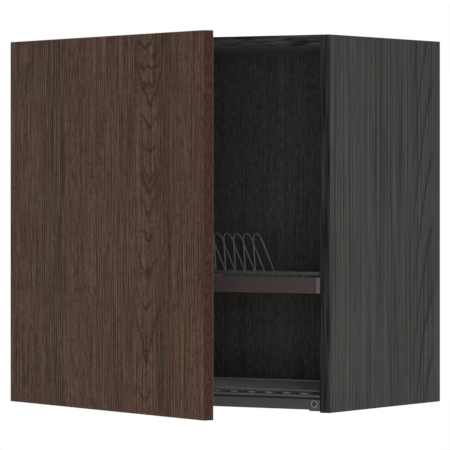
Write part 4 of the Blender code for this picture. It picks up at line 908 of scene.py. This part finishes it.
first = -(RUNS - 1) * TURN
route = []
for index in range(RUNS):
    x = first + index * GLASS_PITCH
    forward = index % 2 == 1
    route += [(x, REAR_TURN), (x, FRONT_TURN)] if forward else [(x, FRONT_TURN), (x, REAR_TURN)]
    if index < RUNS - 1:
        middle = (x + TURN, FRONT_TURN if forward else REAR_TURN)
        route += arc(middle, TURN, 180, 360 if forward else 0, TURN_STEPS)[1:-1]
rack = bmesh.new()
sweep_wire(rack, [spot(x, depth, GLASS_HEIGHT) for x, depth in route], GLASS_RADIUS)
for depths, height, radius in ((CARRIER_DEPTHS, CARRIER_HEIGHT, CARRIER_RADIUS),
                               (THIN_DEPTHS, THIN_HEIGHT, THIN_RADIUS)):
    for depth in depths:
        ends = [spot(x, depth, height) for x in (first - PAST_WIRE, -first + PAST_WIRE)]
        sweep_wire(rack, ends, radius)
glass_wires = finish_piece("glass_rack_wires", rack, plain["glass_coat"], "glass_grid")
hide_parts("glass_rack")
print("glass rack faces:", len(glass_wires.data.polygons))

# %% [markdown]
# ## Collars on the clamp brackets
#
# The photo shows a pale ring round the screw in the front of the lower right bracket. It is the
# raised lip of the moulded recess, coloured paler than the rest. A small circle spun once round the
# screw's axis gives the ring, half sunk into the bracket's face. The left bracket has the same.

# %% Collars
COLLAR_SIDE, COLLAR_DEPTH, COLLAR_HEIGHT = 0.2695, 0.0040, 0.0135
COLLAR_RADIUS, LIP_RADIUS, LIP_SIDES, COLLAR_STEPS = 0.0050, 0.0006, 10, 36


def make_collar(name, x, material):
    middle = spot(x, COLLAR_DEPTH, COLLAR_HEIGHT)
    bm = bmesh.new()
    start = Matrix.Translation(middle + Vector((COLLAR_RADIUS, 0, 0)))
    ring = bmesh.ops.create_circle(bm, segments=LIP_SIDES, radius=LIP_RADIUS, matrix=start)
    edges = list({edge for vert in ring["verts"] for edge in vert.link_edges})
    bmesh.ops.spin(bm, geom=ring["verts"] + edges, cent=middle, axis=(0, 1, 0), dvec=(0, 0, 0),
                   angle=math.tau, steps=COLLAR_STEPS, use_merge=True)
    return finish_piece(name, bm, material, "cabinet")


collar_look = make_plain("collar_look", (0.240, 0.235, 0.230), roughness=0.45, specular=0.2)
for name, x in (("clamp_collar_left", -COLLAR_SIDE), ("clamp_collar_right", COLLAR_SIDE)):
    print(name, len(make_collar(name, x, collar_look).data.polygons))

# %% [markdown]
# ## Backdrop
#
# The picture has a plain white ground. The world is white for the camera and for mirror-like
# rays, and gives an even, softer light to the surfaces. One colour could do both jobs, but then
# a white ground would also flood the cabinet with light. The Light Path node tells the rays apart.

# %% World
WHITE = (1.0, 1.0, 1.0, 1.0)
WORLD_LIGHT = 0.5


def straight_rays(tree):
    """1 for rays that show the ground itself: from the camera, through glass or off a mirror."""
    rays = add_node(tree, "ShaderNodeLightPath").outputs
    seen = plus(tree, rays["Is Camera Ray"], rays["Is Transmission Ray"])
    return plus(tree, seen, rays["Is Glossy Ray"], clamp=True)


def background(tree, strength):
    inputs = {"Color": WHITE, "Strength": strength}
    return add_node(tree, "ShaderNodeBackground", inputs).outputs[0]


world = bpy.data.worlds.new("studio")
world.use_nodes = True
world_tree = world.node_tree
world_tree.nodes.clear()
grounds = {0: straight_rays(world_tree), 1: background(world_tree, WORLD_LIGHT),
           2: background(world_tree, 1.0)}
mixed = add_node(world_tree, "ShaderNodeMixShader", grounds).outputs[0]
add_node(world_tree, "ShaderNodeOutputWorld", {"Surface": mixed})
scene.world = world
print("world nodes:", len(world_tree.nodes))

# %% [markdown]
# A pale floor lies far below, because the cabinet hangs on a wall. A faint glow, which only the
# camera and mirror-like rays see, makes it nearly white there, and it keeps the cabinet's shadow.
# Its rear face is clear, so the cabinet can also be looked at from below.

# %% Floor
FLOOR_HEIGHT, FLOOR_HALF = -2.1, 12.0
FLOOR_GREY, FLOOR_ROUGHNESS, FLOOR_GLOW = 0.8, 0.9, 0.58


def make_floor_paint():
    material, tree, shader = start_material("floor_paint", FLOOR_ROUGHNESS)
    shader.inputs["Base Color"].default_value = with_alpha(FLOOR_GREY)
    shader.inputs["Emission Color"].default_value = WHITE
    glow = times(tree, straight_rays(tree), FLOOR_GLOW)
    tree.links.new(glow, shader.inputs["Emission Strength"])
    clear = add_node(tree, "ShaderNodeBsdfTransparent").outputs[0]
    from_below = add_node(tree, "ShaderNodeNewGeometry").outputs["Backfacing"]
    sides = {0: from_below, 1: shader.outputs[0], 2: clear}
    shown = add_node(tree, "ShaderNodeMixShader", sides).outputs[0]
    tree.links.new(shown, tree.nodes["Material Output"].inputs["Surface"])
    return material


bm = bmesh.new()
bmesh.ops.create_grid(bm, x_segments=1, y_segments=1, size=FLOOR_HALF,
                      matrix=Matrix.Translation((0, 0, FLOOR_HEIGHT)))
floor_mesh = bpy.data.meshes.new("floor")
bm.to_mesh(floor_mesh)
bm.free()
floor_mesh.materials.append(make_floor_paint())
floor = bpy.data.objects.new("floor", floor_mesh)
scene.collection.objects.link(floor)
print("the floor lies", -FLOOR_HEIGHT, "m below the cabinet's top")

# %% [markdown]
# ## Lamps
#
# Four square lamps shape the cabinet. A large one stands at the front right and above, and a
# weaker one on the left. One reaches into the compartments from the front, where the world's even
# light gets lost. A small one low down lights the undersides. Large lamps give soft shadows, as a
# photographer's light boxes do.

# %% Lamps
CABINET_MIDDLE = (0, -0.3, -0.3)
# Each row is one lamp: name, place, target, size in metres, and power in watts.
LAMPS = (
    ("key_lamp", (3.2, -2.6, 2.2), CABINET_MIDDLE, 2.5, 40),
    ("fill_lamp", (-2.5, -3.5, 0.4), CABINET_MIDDLE, 2.5, 20),
    ("front_lamp", (2.6, -4.6, -0.5), CABINET_MIDDLE, 1.6, 82),
    ("low_lamp", (0.7, -1.7, -1.85), (0.1, -0.2, -0.1), 1.0, 9),
)
for name, place, target, size, power in LAMPS:
    data = bpy.data.lights.new(name, "AREA")
    data.shape = "SQUARE"
    data.size = size
    data.energy = power
    lamp = bpy.data.objects.new(name, data)
    lamp.location = place
    lamp.rotation_euler = (Vector(target) - Vector(place)).to_track_quat("-Z", "Y").to_euler()
    scene.collection.objects.link(lamp)

# %% [markdown]
# ## Camera
#
# The picture was taken from the right, a little over the middle of the cabinet, from far away
# with a long lens. The camera is level, so upright edges stay upright, and its frame is shifted
# down to centre the cabinet. The view transform Standard shows the colours as they are, without
# the softer highlights of a film look.

# %% Camera
FOCAL_LENGTH, SENSOR_WIDTH, SHIFT_DOWN = 297.6, 36.0, 0.1017
CAMERA_PLACE, CAMERA_TURN, FARTHEST = (3.2328, -5.4816, -0.2205), 31.457, 50.0

camera_data = bpy.data.cameras.new("camera")
camera_data.lens = FOCAL_LENGTH
camera_data.sensor_width = SENSOR_WIDTH
camera_data.shift_y = -SHIFT_DOWN
camera_data.clip_end = FARTHEST
camera = bpy.data.objects.new("camera", camera_data)
camera.location = CAMERA_PLACE
camera.rotation_euler = (math.radians(90), 0, math.radians(CAMERA_TURN))
scene.collection.objects.link(camera)
scene.camera = camera
scene.view_settings.view_transform = "Standard"
print("camera at", tuple(camera.location))
